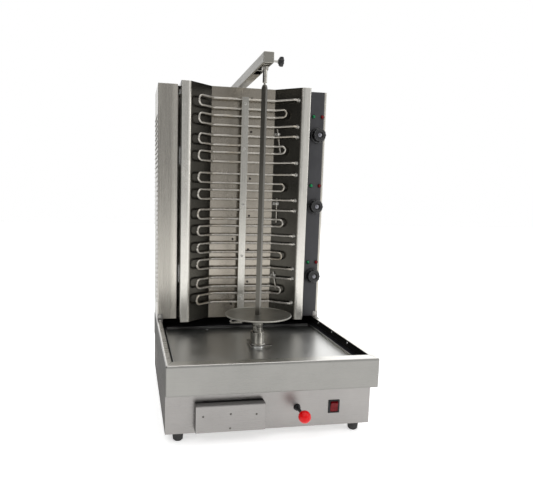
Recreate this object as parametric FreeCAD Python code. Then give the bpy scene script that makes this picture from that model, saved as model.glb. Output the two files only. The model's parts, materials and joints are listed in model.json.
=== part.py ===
import FreeCAD, Part
import math
import os

from FreeCAD import Vector

# Bench-top electric vertical rotisserie (shawarma or doner grill).
# Millimetres. X runs to the right as seen from the front, the front faces -Y, +Z is up.
# Depths ("d") are measured backwards from the front face of the tray surround.
# The origin is the middle of the bounding box, on the surface that the feet stand on.

# ---- driving dimensions ---------------------------------------------------------------
base_width = 530.0          # tray surround, left to right
base_depth = 592.0          # tray surround, front to back
rim_z = 209.0               # top of the tray surround
apron_bottom_z = 135.0      # lower edge of the tray surround
box_bottom_z = 25.0         # underside of the lower box
panel_recess = 40.0         # lower front panel, behind the face of the surround
sheet = 1.5                 # stainless sheet of the casings
thin_sheet = 1.2            # stainless sheet of the reflector and pan

housing_half_width = 262.0  # heater housing, half of its width
housing_front_d = 447.0     # front face of the two pillars
housing_back_d = 632.0      # back cover
housing_bottom_z = 215.0
housing_top_z = 926.0

flange_d = 405.0            # front flanges of the reflector
flange_x = (171.0, 197.0)   # inner and outer edge of a flange
reflector_back_d = 462.0    # flat back of the reflector
reflector_back_x = 99.3     # half width of that flat back

reflector_z = (213.0, 929.0)
front_bend = 16.0           # bend radius between a flange and its wing, on the polished side
fold_bend = 3.0             # bend radius at the outer edge of a flange

element_heights = (852.5, 743.5, 629.0, 518.5, 414.5, 305.0)
element_tube = 6.5          # heating tube diameter
outer_run = 39.2            # outer runs, above and below the middle of an element
inner_run = 11.0            # inner runs
standoff = 16.0             # tube centre in front of the reflector

axis_x = 6.0                # spit axis
axis_d = 228.0
spit_side = 12.0            # square spit bar
spit_turn = -37.0           # rest angle of the bar about its axis
spit_foot_z = 233.5
spit_top_z = 892.0
disc_radius = 93.0
disc_z = 275.0

arm_side = 28.0             # square tube of the arm and the mast
arm_bottom_z = 940.0
arm_tip_d = 191.0
tube_wall = 2.0

slide_travel = 35.0         # push-pull travel of the drive, towards the heaters
pin_lift = 16.0             # lift of the top pin

lever_x = 67.5              # push-pull lever
lever_z = 77.0
ball_radius = 15.4
ball_bore = 8.0             # depth of the rod in the ball
lever_radius = 4.0
ball_d = -20.0

drawer_front_x = (-192.0, -20.0)
drawer_front_z = (34.5, 103.0)
drawer_front_d = 14.5
drawer_length = 400.0
finger_gap_depth = 6.0      # open slot between the drawer's top fold and the panel
drawer_box_x = (-185.0, -27.0)
drawer_bottom_z = 42.0
drawer_top_z = 94.0
rivet_places = ((-174.0, 76.0), (-107.0, 79.5), (-43.0, 76.0), (-108.0, 43.5))

knob_positions = ((237.0, 794.0), (237.0, 572.0), (237.0, 348.0))
lamp_heights = (851.5, 638.0, 392.5)
lamp_x = (221.5, 249.5)     # green, red
rocker_centre = (165.5, 74.0)
rocker_size = (30.0, 34.5)  # bezel, width and height
rocker_tilt = 10.0          # the button stands this far to either side of its middle

# ---- derived frame --------------------------------------------------------------------
half_width = base_width / 2
overall_front_d = ball_d - ball_radius
front_y = -(housing_back_d + arm_side + overall_front_d) / 2
mast_d = (housing_back_d, housing_back_d + arm_side)
UP = Vector(0, 0, 1)
RIGHT = Vector(1, 0, 0)
BACK = Vector(0, 1, 0)


# ---- helpers --------------------------------------------------------------------------
def point(x, d, z):
    """A point from its x, its depth behind the surround's face, and its height."""
    return Vector(x, front_y + d, z)


def box(x0, x1, d0, d1, z0, z1):
    return Part.makeBox(x1 - x0, d1 - d0, z1 - z0, point(x0, d0, z0))


def rod(radius, start, end):
    """A round bar between two points."""
    run = end - start
    return Part.makeCylinder(radius, run.Length, start, run)


def tube(outer, inner, start, end):
    return rod(outer, start, end).cut(rod(inner, start, end))


def fuse(shapes):
    shapes = list(shapes)
    if len(shapes) == 1:
        return shapes[0]
    return shapes[0].multiFuse(shapes[1:]).removeSplitter()


def cut(shape, tools):
    return shape.cut(list(tools))


def group(shapes):
    """Separate solids that share one node."""
    return Part.makeCompound(list(shapes))


def prism(points, run):
    """A straight prism from an outline and an extrusion vector."""
    outline = Part.makePolygon(list(points) + [points[0]])
    return Part.Face(outline).extrude(run)


def hexagon_bar(centre, radius, run):
    """A six-sided bar, its corners on a circle round centre."""
    first = RIGHT * radius
    if abs(run.z) > 0:
        first = BACK * radius
    corners = [centre + FreeCAD.Rotation(run, 60.0 * i).multVec(first) for i in range(6)]
    return prism(corners, run)


def edges_where(shape, test):
    """The edges whose middle passes a test."""
    return [e for e in shape.Edges if test(e.BoundBox.Center, e)]


def is_along(edge, axis):
    """True for a straight edge parallel to an axis."""
    if not isinstance(edge.Curve, (Part.Line, Part.LineSegment)):
        return False
    run = edge.Vertexes[-1].Point - edge.Vertexes[0].Point
    return run.Length > 0 and abs(run.normalize().dot(axis)) > 0.999


def round_edges(shape, radius, test):
    return shape.makeFillet(radius, edges_where(shape, test))


def rounded_path(points, radii):
    """Straight runs joined by tangent arcs, one radius for each inner point."""
    edges = []
    start = points[0]
    for before, corner, after, radius in zip(points, points[1:], points[2:], radii):
        into = (before - corner).normalize()
        out = (after - corner).normalize()
        half_turn = (math.pi - into.getAngle(out)) / 2
        setback = radius * math.tan(half_turn)
        arc_start = corner + into * setback
        arc_end = corner + out * setback
        inward = (into + out).normalize()
        arc_middle = corner + inward * (radius / math.cos(half_turn) - radius)
        if (arc_start - start).Length > 1e-4:
            edges.append(Part.LineSegment(start, arc_start).toShape())
        edges.append(Part.Arc(arc_start, arc_middle, arc_end).toShape())
        start = arc_end
    if (points[-1] - start).Length > 1e-4:
        edges.append(Part.LineSegment(start, points[-1]).toShape())
    return Part.Wire(edges)


def swept_tube(path, radius):
    first = path.Edges[0]
    run = first.tangentAt(first.FirstParameter)
    ring = Part.Wire(Part.makeCircle(radius, first.valueAt(first.FirstParameter), run))
    return path.makePipeShell([ring], True, False)


def screw(centre, direction, head_radius, head_height, shank_radius=0.0, shank_length=0.0):
    """A pan-head screw: a domed head with a cross slot, standing on centre."""
    direction = Vector(direction).normalize()
    head = Part.makeCylinder(head_radius, head_height, centre, direction)
    rim = [e for e in head.Edges if isinstance(e.Curve, Part.Circle)
           and (e.Curve.Center - centre).Length > head_height / 2]
    head = head.makeFillet(head_height * 0.55, rim)
    slot_width = head_radius * 0.28
    bar = Part.makeBox(head_radius, slot_width, head_height, Vector(-head_radius / 2, -slot_width / 2, 0))
    cross = bar.fuse(bar.rotated(Vector(0, 0, 0), UP, 90))
    turn = FreeCAD.Rotation(UP, direction)
    cross.Placement = FreeCAD.Placement(centre + direction * (head_height * 0.55), turn)
    head = head.cut(cross)
    if shank_length:
        head = head.fuse(Part.makeCylinder(shank_radius, shank_length, centre, direction * -1))
    return head


def save(name, shape):
    shape.exportStep(os.path.join("parts", name + ".step"))
    solids = shape.Solids
    volume = sum(s.Volume for s in solids)
    print(f"{name:22s} solids {len(solids):3d} volume {volume / 1000:9.2f} cm3 valid {shape.isValid()}")


# ---- base -----------------------------------------------------------------------------
casing_half = half_width - sheet
deck_z = 178.5              # underside of the deck
deck_top_z = deck_z + sheet
side_rim = 16.0             # flat width of the side rims
front_rim = 33.0            # flat width of the front rim
back_rim_d = 576.0
drawer_gap = 6.0            # opening in the panel, inside the drawer front's outline
foot_x = 230.0
foot_depths = (63.0, 567.0)
side_hole_radius = 2.75
side_hole_rows = ((155.0, 115.0, 123.0, 4), (192.0, 201.0, 118.5, 3))   # height, first, pitch, count
gland_x = -190.0
gland_z = 75.0
pan_x = (-239.3, 237.5)
pan_d = (36.0, 452.0)
pan_top_z = 187.0
pan_hem = 3.0
pan_bend = 2.5              # bend radius between the pan's floor and walls
pan_corner = 6.0
drain_x = -106.0
drain_d = 424.0
collar_z = 187.0
screw_hole_radius = 3.2
through = 1.0               # how far a cutting tool reaches past the sheet it cuts
rocker_radius = 13.6        # pivot to the rounded ends of the button
rocker_ridge = 4.6          # pivot to the valley of its face
rocker_pivot_d = panel_recess + 2.0
rail_grip = 10.0            # width of the shelf under each side of the drawer
drawer_rail_d = (46.0, 450.0)
slot_half_width = 16.0      # shaft slot in the pan
slot_corner = 10.8
shaft_slot = (axis_d - slot_half_width, axis_d + slide_travel + slot_half_width)
spout_radius = 9.0
spout_low_z = 160.0


def tray_surround():
    """Top frame: apron in front, skirts at the sides and back, rolled rim, return under the apron."""
    corner_radius = 5.0
    outer = box(-half_width, half_width, 0, base_depth, apron_bottom_z, rim_z)
    outer = round_edges(outer, corner_radius, lambda c, e: (
        c.z > rim_z - 1 or (is_along(e, UP) and c.y < front_y + 1)))
    inner = box(-casing_half, casing_half, sheet, base_depth - sheet,
                apron_bottom_z - through, rim_z - sheet)
    inner = round_edges(inner, corner_radius - sheet, lambda c, e: (
        c.z > rim_z - sheet - 1 or (is_along(e, UP) and c.y < front_y + sheet + 1)))
    opening_x = half_width - side_rim
    opening = box(-opening_x, opening_x, front_rim, back_rim_d, rim_z - 2 * sheet, rim_z + through)
    under_return = box(-casing_half, casing_half, sheet, panel_recess,
                       apron_bottom_z, apron_bottom_z + sheet)
    holes = []
    for side in (-1, 1):
        for z, first_d, pitch, count in side_hole_rows:
            for index in range(count):
                d = first_d + index * pitch
                holes.append(rod(side_hole_radius, point(side * (half_width + through), d, z),
                                 point(side * (casing_half - through), d, z)))
    return cut(fuse([cut(outer, [inner, opening]), under_return]), holes)


def base_casing():
    """Lower box: front panel, two sides and back folded from one sheet, with a bottom flange."""
    top_z = deck_z
    outer = box(-casing_half, casing_half, panel_recess, base_depth - sheet, box_bottom_z, top_z)
    outer = round_edges(outer, 2.5, lambda c, e: is_along(e, UP))
    inner_half = casing_half - sheet
    inner = box(-inner_half, inner_half, panel_recess + sheet, base_depth - 2 * sheet,
                box_bottom_z + sheet, top_z + through)
    flange = 18.0
    window = box(-inner_half + flange, inner_half - flange, panel_recess + sheet + flange,
                 base_depth - 2 * sheet - flange, box_bottom_z - 1, box_bottom_z + sheet + 1)
    shell = cut(outer, [inner, window])
    panel_cut = (panel_recess - through, panel_recess + sheet + through)
    drawer_hole = box(drawer_front_x[0] + drawer_gap, drawer_front_x[1] - drawer_gap, *panel_cut,
                      drawer_front_z[0] + drawer_gap, drawer_front_z[1] - drawer_gap)
    lever_hole = rod(9.0, point(lever_x, panel_cut[0], lever_z), point(lever_x, panel_cut[1], lever_z))
    rocker_x, rocker_z = rocker_centre
    rocker_hole = box(rocker_x - 13, rocker_x + 13, panel_recess - 1, panel_recess + 3,
                      rocker_z - 15.8, rocker_z + 15.8)
    gland_hole = rod(10.0, point(gland_x, base_depth - 5, gland_z), point(gland_x, base_depth + 1, gland_z))
    side_vents = [box(-half_width, half_width, d, d + 4, 60, 110) for d in range(430, 551, 12)]
    foot_holes = [rod(screw_hole_radius, point(x, d, box_bottom_z - 1), point(x, d, box_bottom_z + 3))
                  for x in (-foot_x, foot_x) for d in foot_depths]
    return cut(shell, [drawer_hole, lever_hole, rocker_hole, gland_hole] + side_vents + foot_holes)


def bottom_plate():
    """Loose floor plate lying on the casing's bottom flange, with vent slots."""
    half = casing_half - 2 * sheet
    z0 = box_bottom_z + sheet
    plate = box(-half, half, panel_recess + 2 * sheet, base_depth - 3 * sheet, z0, z0 + sheet)
    slots = [box(60 + 14 * i, 64 + 14 * i, 430, 520, z0 - 1, z0 + 3) for i in range(8)]
    foot_holes = [rod(screw_hole_radius, point(x, d, z0 - 1), point(x, d, z0 + 3))
                  for x in (-foot_x, foot_x) for d in foot_depths]
    return cut(plate, slots + foot_holes)


def deck_plate():
    """Plate under the drip pan, with the shaft slot and a hole for the drain spout."""
    half = casing_half - 0.3
    plate = box(-half, half, panel_recess, base_depth - 2 * sheet, deck_z, deck_top_z)
    clearance = 2.0
    slot = box(axis_x - slot_half_width - clearance, axis_x + slot_half_width + clearance,
               shaft_slot[0] - clearance, shaft_slot[1] + clearance, deck_z - through, deck_top_z + through)
    drain = rod(spout_radius + clearance, point(drain_x, drain_d, deck_z - through),
                point(drain_x, drain_d, deck_top_z + through))
    return cut(plate, [slot, drain])


def upright_slot(half_x, d, z, radius):
    """Box round the spit axis with rounded upright edges."""
    block = box(axis_x - half_x, axis_x + half_x, *d, *z)
    return round_edges(block, radius, lambda c, e: is_along(e, UP))


def drip_pan():
    """Loose shallow grease pan: flat floor, low walls with a rolled hem, a collar round the slot."""
    t = thin_sheet
    floor_z = deck_top_z + t
    wall_x = (pan_x[0] + pan_hem, pan_x[1] - pan_hem)
    wall_d = (pan_d[0] + pan_hem, pan_d[1] - pan_hem)
    outer = box(*wall_x, *wall_d, deck_top_z, pan_top_z)
    outer = round_edges(outer, pan_corner, lambda c, e: is_along(e, UP))
    outer = round_edges(outer, pan_bend, lambda c, e: c.z < deck_top_z + 0.1)
    inner = box(wall_x[0] + t, wall_x[1] - t, wall_d[0] + t, wall_d[1] - t, floor_z, pan_top_z + through)
    inner = round_edges(inner, pan_corner - t, lambda c, e: is_along(e, UP))
    inner = round_edges(inner, pan_bend - t, lambda c, e: c.z < floor_z + 0.1)
    hem = box(*pan_x, *pan_d, pan_top_z - pan_hem, pan_top_z)
    hem = round_edges(hem, pan_corner, lambda c, e: is_along(e, UP))
    hem = round_edges(hem, pan_hem * 0.45, lambda c, e: (
        abs(c.z - pan_top_z) < 0.1 or abs(c.z - pan_top_z + pan_hem) < 0.1))
    collar = upright_slot(slot_half_width + t, (shaft_slot[0] - t, shaft_slot[1] + t),
                          (deck_top_z, collar_z), slot_corner + t)
    slot = upright_slot(slot_half_width, shaft_slot, (deck_top_z - through, collar_z + through), slot_corner)
    spout = rod(spout_radius, point(drain_x, drain_d, spout_low_z), point(drain_x, drain_d, floor_z))
    drain = rod(spout_radius - t, point(drain_x, drain_d, spout_low_z - through),
                point(drain_x, drain_d, floor_z + through))
    pan = fuse([outer, hem]).cut(inner)
    return cut(fuse([pan, collar, spout]), [slot, drain])


def rubber_feet():
    """Four turned rubber feet, tapered, with a chamfered sole and a recess for the screw."""
    feet = []
    for x in (-foot_x, foot_x):
        for d in foot_depths:
            profile = [(0, 0), (9, 0), (12.5, 3.5), (14.5, box_bottom_z), (0, box_bottom_z)]
            face = Part.Face(Part.makePolygon([Vector(r, 0, z) for r, z in profile + profile[:1]]))
            foot = face.revolve(Vector(0, 0, 0), UP, 360)
            foot = foot.cut(Part.makeCylinder(5.5, 8, Vector(0, 0, -1)))
            foot = foot.cut(Part.makeCylinder(2.7, box_bottom_z + 2, Vector(0, 0, -1)))
            foot.translate(point(x, d, 0))
            feet.append(foot)
    return group(feet)


def drawer_rails():
    """Two angle rails that carry the drawer on its underside, standing on the floor plate."""
    rail_top = drawer_bottom_z - 0.3
    floor_z = box_bottom_z + 2 * sheet
    rails = []
    for x, side in ((drawer_box_x[0], -1), (drawer_box_x[1], 1)):
        near_x, far_x = x + side * 0.5, x + side * (0.5 + sheet)
        wall = box(*sorted((near_x, far_x)), *drawer_rail_d, floor_z, drawer_bottom_z + 20)
        shelf = box(*sorted((x - side * rail_grip, near_x)), *drawer_rail_d, rail_top - sheet, rail_top)
        rails.append(fuse([wall, shelf]))
    return group(rails)


def drawer_box():
    """Folded grease drawer, open at the top."""
    d0 = panel_recess - 1.2
    d1 = d0 + drawer_length
    outer = box(drawer_box_x[0], drawer_box_x[1], d0, d1, drawer_bottom_z, drawer_top_z)
    outer = round_edges(outer, 2.5, lambda c, e: c.z < drawer_bottom_z + 0.1)
    inner = box(drawer_box_x[0] + sheet, drawer_box_x[1] - sheet, d0 + sheet, d1 - sheet,
                drawer_bottom_z + sheet, drawer_top_z + 1)
    return outer.cut(inner)


def drawer_front():
    """Drawer front: a shallow cap with side and bottom folds and a rolled finger lip on top."""
    x0, x1 = drawer_front_x
    z0, z1 = drawer_front_z
    back_d = panel_recess - 1.2
    outer = box(x0, x1, drawer_front_d, back_d, z0, z1)
    outer = round_edges(outer, 3.5, lambda c, e: (
        is_along(e, RIGHT) and c.z > z1 - 0.1 and c.y < front_y + drawer_front_d + 0.1))
    outer = round_edges(outer, 1.8, lambda c, e: c.y < front_y + drawer_front_d + 0.1 and c.z < z1 - 5)
    inner = box(x0 + sheet, x1 - sheet, drawer_front_d + sheet, back_d + 1, z0 + sheet, z1 - sheet)
    finger_gap = box(x0 + sheet, x1 - sheet, back_d - finger_gap_depth, back_d + through,
                     z1 - sheet - through, z1 + through)
    tie_plate = box(x0 + sheet, x1 - sheet, back_d - sheet, back_d, z0 + sheet, drawer_top_z)
    return fuse([cut(outer, [inner, finger_gap]), tie_plate])


def drawer_rivets():
    """Four blind rivets through the drawer's face."""
    rivets = []
    for x, z in rivet_places:
        head = Part.makeSphere(3.6, point(x, drawer_front_d + 2.6, z))
        rivets.append(head.common(box(x - 5, x + 5, drawer_front_d - 3, drawer_front_d, z - 5, z + 5)))
    return group(rivets)


def lever_bush():
    """Threaded bush and nut that guide the lever rod through the front panel."""
    front = point(lever_x, panel_recess - 8, lever_z)
    flange_back = point(lever_x, panel_recess, lever_z)
    nut = hexagon_bar(front, 7.6, BACK * 8)
    collar = rod(8.8, flange_back, point(lever_x, panel_recess + 14, lever_z))
    bore = rod(4.05, point(lever_x, panel_recess - 9, lever_z), point(lever_x, panel_recess + 15, lever_z))
    return cut(fuse([nut, collar]), [bore])


def rocker_switch():
    """Rocker switch body: bezel in front of the panel, box behind it, with a cavity for the button."""
    x, z = rocker_centre
    w, h = rocker_size
    bezel_d = panel_recess - 2.5
    bezel = box(x - w / 2, x + w / 2, bezel_d, panel_recess, z - h / 2, z + h / 2)
    bezel = round_edges(bezel, 1.5, lambda c, e: is_along(e, BACK) or c.y < front_y + bezel_d + 0.1)
    body_half_height = rocker_radius + 1.9
    body = box(x - 12.8, x + 12.8, panel_recess, panel_recess + 26,
               z - body_half_height, z + body_half_height)
    cavity_half_height = rocker_radius + 0.5
    cavity = box(x - 10.2, x + 10.2, bezel_d - 1, panel_recess + 16,
                 z - cavity_half_height, z + cavity_half_height)
    blades = [box(x - 1 + side, x + 5 + side, panel_recess + 26, panel_recess + 36, z + up, z + up + 0.8)
              for side in (-8, 3) for up in (-8, 7)]
    return fuse([bezel, body] + blades).cut(cavity)


def rocker_button():
    """Two-faced rocker on a pivot across the switch, its lower half pressed in at rest."""
    x, z = rocker_centre
    half_width_x = 9.6
    end_angle = math.radians(60.5)
    end_forward = rocker_radius * math.cos(end_angle)
    end_up = rocker_radius * math.sin(end_angle)
    wedge_depth = 5.0

    def at(forward, up):
        return point(x - half_width_x, rocker_pivot_d - forward, z + up)

    def rounded_end(side):
        middle = (end_angle + math.pi / 2) / 2
        return Part.Arc(at(end_forward, side * end_up),
                        at(rocker_radius * math.cos(middle), side * rocker_radius * math.sin(middle)),
                        at(0, side * rocker_radius)).toShape()

    straight = [(at(rocker_ridge, 0), at(end_forward, end_up)), (at(0, rocker_radius), at(-wedge_depth, 0)),
                (at(-wedge_depth, 0), at(0, -rocker_radius)), (at(end_forward, -end_up), at(rocker_ridge, 0))]
    edges = [Part.LineSegment(start, end).toShape() for start, end in straight]
    outline = Part.Wire(Part.__sortEdges__(edges + [rounded_end(1), rounded_end(-1)]))
    button = Part.Face(outline).extrude(RIGHT * (2 * half_width_x))
    button.rotate(point(x, rocker_pivot_d, z), RIGHT, rocker_tilt)
    return button


def cable_gland():
    """Mains inlet gland in the back of the lower box: hex body and a domed cap with its hole."""
    back = base_depth
    centre = point(gland_x, back, gland_z)
    body = hexagon_bar(centre, 14.0, BACK * 7)
    cap = Part.makeCone(12.0, 8.0, 12, point(gland_x, back + 7, gland_z), BACK)
    thread = rod(9.8, point(gland_x, back - 14, gland_z), centre)
    bore = rod(4.5, point(gland_x, back - 15, gland_z), point(gland_x, back + 20, gland_z))
    return cut(fuse([body, cap, thread]), [bore])


def terminal_block():
    """Ceramic mains terminal block on the housing floor, with its clamping screws."""
    x0, d0, z0 = 150.0, 560.0, housing_bottom_z + sheet
    block = box(x0, x0 + 66, d0, d0 + 30, z0, z0 + 18)
    ways = [box(x0 + 4 + 12.5 * i, x0 + 12 + 12.5 * i, d0 - 1, d0 + 31, z0 + 6, z0 + 14) for i in range(5)]
    ribs = [box(x0 + 1 + 12.5 * i, x0 + 3 + 12.5 * i, d0, d0 + 30, z0 + 18, z0 + 24) for i in range(6)]
    return cut(fuse([block] + ribs), ways)


# ---- drive ----------------------------------------------------------------------------
rail_x = (0.0, 95.0)
rail_z = 84.0
rail_radius = 6.0
rail_d = (120.0, 400.0)
plate_x = (-32.0, 112.0)
plate_d = (168.0, 290.0)
plate_z = (99.0, 104.0)
bearing_depths = (170.0, 260.0)
bearing_length = 28.0
bearing_half = 13.0
stand_depth = 8.0
motor_z = (31.0, 36.0)      # underside of the end bell and of the can
motor_radius = 25.0
gear_module = 1.25
wheel_teeth = 48
pinion_teeth = 12
gear_width = 10.0
gear_z = 113.0
pinion_x = axis_x + gear_module * (wheel_teeth + pinion_teeth) / 2
gearbox_z = (plate_z[1], 146.0)
tower_top_z = 187.4
shaft_radius = 8.0


def carriage_rails():
    """Two round guide rails with their stands, welded to the floor plate."""
    floor_z = box_bottom_z + 2 * sheet
    pieces = []
    for x in rail_x:
        bar = rod(rail_radius, point(x, rail_d[0], rail_z), point(x, rail_d[1], rail_z))
        stands = [box(x - 12, x + 12, d, d + stand_depth, floor_z, rail_z + 10)
                  for d in (rail_d[0] - stand_depth, rail_d[1])]
        pieces.append(fuse([bar] + stands))
    return group(pieces)


def carriage_plate():
    """Sliding drive carriage: plate, four bearing blocks, and a lug for the lever rod."""
    plate = box(*plate_x, *plate_d, *plate_z)
    plate = round_edges(plate, 8.0, lambda c, e: is_along(e, UP))
    blocks = [box(x - bearing_half, x + bearing_half, d, d + bearing_length,
                  rail_z - bearing_half, plate_z[0]) for x in rail_x for d in bearing_depths]
    lug = box(lever_x - 12, lever_x + 12, plate_d[0], plate_d[0] + 6, lever_z - 12, plate_z[0])
    body = fuse([plate] + blocks + [lug])
    bores = [rod(rail_radius + 0.05, point(x, plate_d[0] - through, rail_z),
                 point(x, plate_d[1] + through, rail_z)) for x in rail_x]
    motor_hole = rod(9.0, point(pinion_x, axis_d, plate_z[0] - 1), point(pinion_x, axis_d, plate_z[1] + 1))
    rod_hole = rod(lever_radius, point(lever_x, plate_d[0] - through, lever_z),
                   point(lever_x, plate_d[0] + 12, lever_z))
    return cut(body, bores + [motor_hole, rod_hole])


def lever_rod():
    """Round push-pull rod from the ball, through the panel bush, to the carriage lug."""
    return rod(lever_radius, point(lever_x, ball_d + ball_radius - ball_bore, lever_z),
               point(lever_x, plate_d[0] + 10, lever_z))


def lever_ball():
    """Ball knob with a blind bore for the rod."""
    ball = Part.makeSphere(ball_radius, point(lever_x, ball_d, lever_z))
    flat = box(lever_x - 20, lever_x + 20, ball_d + ball_radius - 0.8, ball_d + 20,
               lever_z - 20, lever_z + 20)
    bore = rod(lever_radius, point(lever_x, ball_d + ball_radius - ball_bore, lever_z),
               point(lever_x, ball_d + 20, lever_z))
    return cut(ball, [flat, bore])


def gearbox_case():
    """Gearbox shell on the carriage, with the shaft tower and the slot cover on top of it."""
    x0, x1 = axis_x - 37, pinion_x + 16
    d0, d1 = axis_d - 37, axis_d + 37
    wall = 3.5
    outer = box(x0, x1, d0, d1, gearbox_z[0], gearbox_z[1])
    outer = round_edges(outer, 8.0, lambda c, e: is_along(e, UP))
    inner = box(x0 + wall, x1 - wall, d0 + wall, d1 - wall, gearbox_z[0] + wall, gearbox_z[1] - wall)
    tower = rod(13.0, point(axis_x, axis_d, gearbox_z[1] - wall), point(axis_x, axis_d, tower_top_z))
    shaft_bore = rod(shaft_radius + 0.05, point(axis_x, axis_d, gearbox_z[0] + 1.0),
                     point(axis_x, axis_d, tower_top_z + 1))
    motor_bore = rod(6.0, point(pinion_x, axis_d, gearbox_z[0] - 1),
                     point(pinion_x, axis_d, gearbox_z[0] + 5))
    ribs = [box(axis_x - 20, axis_x + 20, axis_d - 1.5, axis_d + 1.5, gearbox_z[1] - 0.5, gearbox_z[1] + 14),
            box(axis_x - 1.5, axis_x + 1.5, axis_d - 20, axis_d + 20, gearbox_z[1] - 0.5, gearbox_z[1] + 14)]
    case = outer.cut(inner)
    return cut(fuse([case, tower] + ribs), [shaft_bore, motor_bore])


def slot_cover():
    """Plate on the tower that covers the shaft slot, with a rounded finger lug on its right."""
    z0 = tower_top_z
    thickness = 1.6
    plate = box(axis_x - 20, axis_x + 20, axis_d - 22, axis_d + 54, z0, z0 + thickness)
    plate = round_edges(plate, 8.0, lambda c, e: is_along(e, UP))
    lug_d = axis_d - 12
    lug_end_x = axis_x + 32
    lug = fuse([box(axis_x + 15, lug_end_x, lug_d - 7, lug_d + 7, z0, z0 + thickness),
                rod(7.0, point(lug_end_x, lug_d, z0), point(lug_end_x, lug_d, z0 + thickness))])
    clearance = rod(shaft_radius + 0.6, point(axis_x, axis_d, z0 - 1), point(axis_x, axis_d, z0 + 3))
    return cut(fuse([plate, lug]), [clearance])


def motor_can():
    """Drive motor under the carriage plate: can, end bell and a boss with the rotor bore."""
    top_z = plate_z[0]
    can = rod(motor_radius, point(pinion_x, axis_d, motor_z[1]), point(pinion_x, axis_d, top_z))
    end_bell = rod(14.0, point(pinion_x, axis_d, motor_z[0]), point(pinion_x, axis_d, motor_z[1]))
    boss = rod(8.8, point(pinion_x, axis_d, top_z), point(pinion_x, axis_d, plate_z[1]))
    rotor_bore = rod(4.05, point(pinion_x, axis_d, 60), point(pinion_x, axis_d, plate_z[1] + 1))
    return cut(fuse([can, end_bell, boss]), [rotor_bore])


def gear(teeth, bore_radius, centre, phase_deg):
    """Spur gear with straight-sided teeth, slim enough to run with backlash."""
    pitch_radius = gear_module * teeth / 2
    root = pitch_radius - 1.25 * gear_module
    tip = pitch_radius + 0.95 * gear_module
    pitch_angle = 2 * math.pi / teeth
    outline = []
    for index in range(teeth):
        middle = index * pitch_angle + math.radians(phase_deg)
        for radius, offset in ((root, -0.31), (pitch_radius, -0.215), (tip, -0.10),
                               (tip, 0.10), (pitch_radius, 0.215), (root, 0.31)):
            angle = middle + offset * pitch_angle
            outline.append(centre + Vector(radius * math.cos(angle), radius * math.sin(angle), 0))
    return prism(outline, UP * gear_width).cut(
        Part.makeCylinder(bore_radius, gear_width + 2, centre - UP, UP))


def drive_wheel():
    """Large gear on the output shaft."""
    return gear(wheel_teeth, shaft_radius, point(axis_x, axis_d, gear_z), 0.0)


def pinion():
    """Motor shaft with its pinion, one tooth gap facing the wheel."""
    half_tooth = 180.0 / pinion_teeth
    teeth = gear(pinion_teeth, 3.9, point(pinion_x, axis_d, gear_z), half_tooth)
    shaft = rod(4.0, point(pinion_x, axis_d, 62), point(pinion_x, axis_d, gear_z + gear_width + 4))
    return fuse([teeth, shaft])


def output_shaft():
    """Vertical output shaft, running in the tower."""
    return rod(shaft_radius, point(axis_x, axis_d, gearbox_z[0] + 1.2), point(axis_x, axis_d, 232))


coupler_z = (190.4, 194.0, 226.0, 246.0)


def coupler():
    """Turned coupler: flared drip ring, stepped body, a grub screw hole, bore below and socket above."""
    z = coupler_z
    ring = Part.makeCone(23.5, 21.0, z[1] - z[0], point(axis_x, axis_d, z[0]), UP)
    body = rod(19.5, point(axis_x, axis_d, z[1]), point(axis_x, axis_d, z[2]))
    body = round_edges(body, 1.5, lambda c, e: c.z > z[2] - 0.1 and isinstance(e.Curve, Part.Circle))
    upper = rod(14.5, point(axis_x, axis_d, z[2]), point(axis_x, axis_d, z[3]))
    bore = rod(shaft_radius, point(axis_x, axis_d, z[0] - 1), point(axis_x, axis_d, 232))
    socket = spit_square(spit_side + 0.1, spit_foot_z - 0.5, z[3] + through)
    grub = rod(3.0, point(axis_x + 20, axis_d, 210), point(axis_x + shaft_radius - 1, axis_d, 210))
    return cut(fuse([ring, body, upper]), [bore, socket, grub])


def spit_square(side, z0, z1):
    """Square bar on the spit axis at its rest angle."""
    half = side / 2
    bar = box(axis_x - half, axis_x + half, axis_d - half, axis_d + half, z0, z1)
    bar.rotate(point(axis_x, axis_d, 0), UP, spit_turn)
    return bar


def spit_disc():
    """Dished carving disc with a rolled rim, on a hub with a square hole."""
    dish = 2.5
    profile = [(0, disc_z - 4.4), (disc_radius - 2.2, disc_z - dish), (disc_radius - 2.2, disc_z),
               (70, disc_z - 1.0), (14, disc_z - 1.9), (0, disc_z - 1.9)]
    face = Part.Face(Part.makePolygon([Vector(r, 0, z) for r, z in profile + profile[:1]]))
    plate = face.revolve(Vector(0, 0, 0), UP, 360)
    rim = Part.makeTorus(disc_radius - 2.2, 2.2, Vector(0, 0, disc_z - 1.4), UP)
    hub = Part.makeCylinder(14.0, disc_z - 3 - coupler_z[3], Vector(0, 0, coupler_z[3]))
    disc = fuse([plate, rim, hub])
    disc.translate(point(axis_x, axis_d, 0))
    return disc.cut(spit_square(spit_side + 0.1, coupler_z[3] - through, disc_z + through))


def spit_bar():
    """Square spit with a tapered neck and a centre bore for the top pin."""
    neck_z = spit_top_z - 10
    bar = spit_square(spit_side, spit_foot_z, spit_top_z)
    envelope = fuse([
        Part.makeCone(10.0, 5.2, spit_top_z - neck_z, point(axis_x, axis_d, neck_z)),
        rod(10.0, point(axis_x, axis_d, 233), point(axis_x, axis_d, neck_z))])
    bar = bar.common(envelope)
    return bar.cut(rod(3.08, point(axis_x, axis_d, spit_top_z - 15), point(axis_x, axis_d, spit_top_z + 1)))


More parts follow.
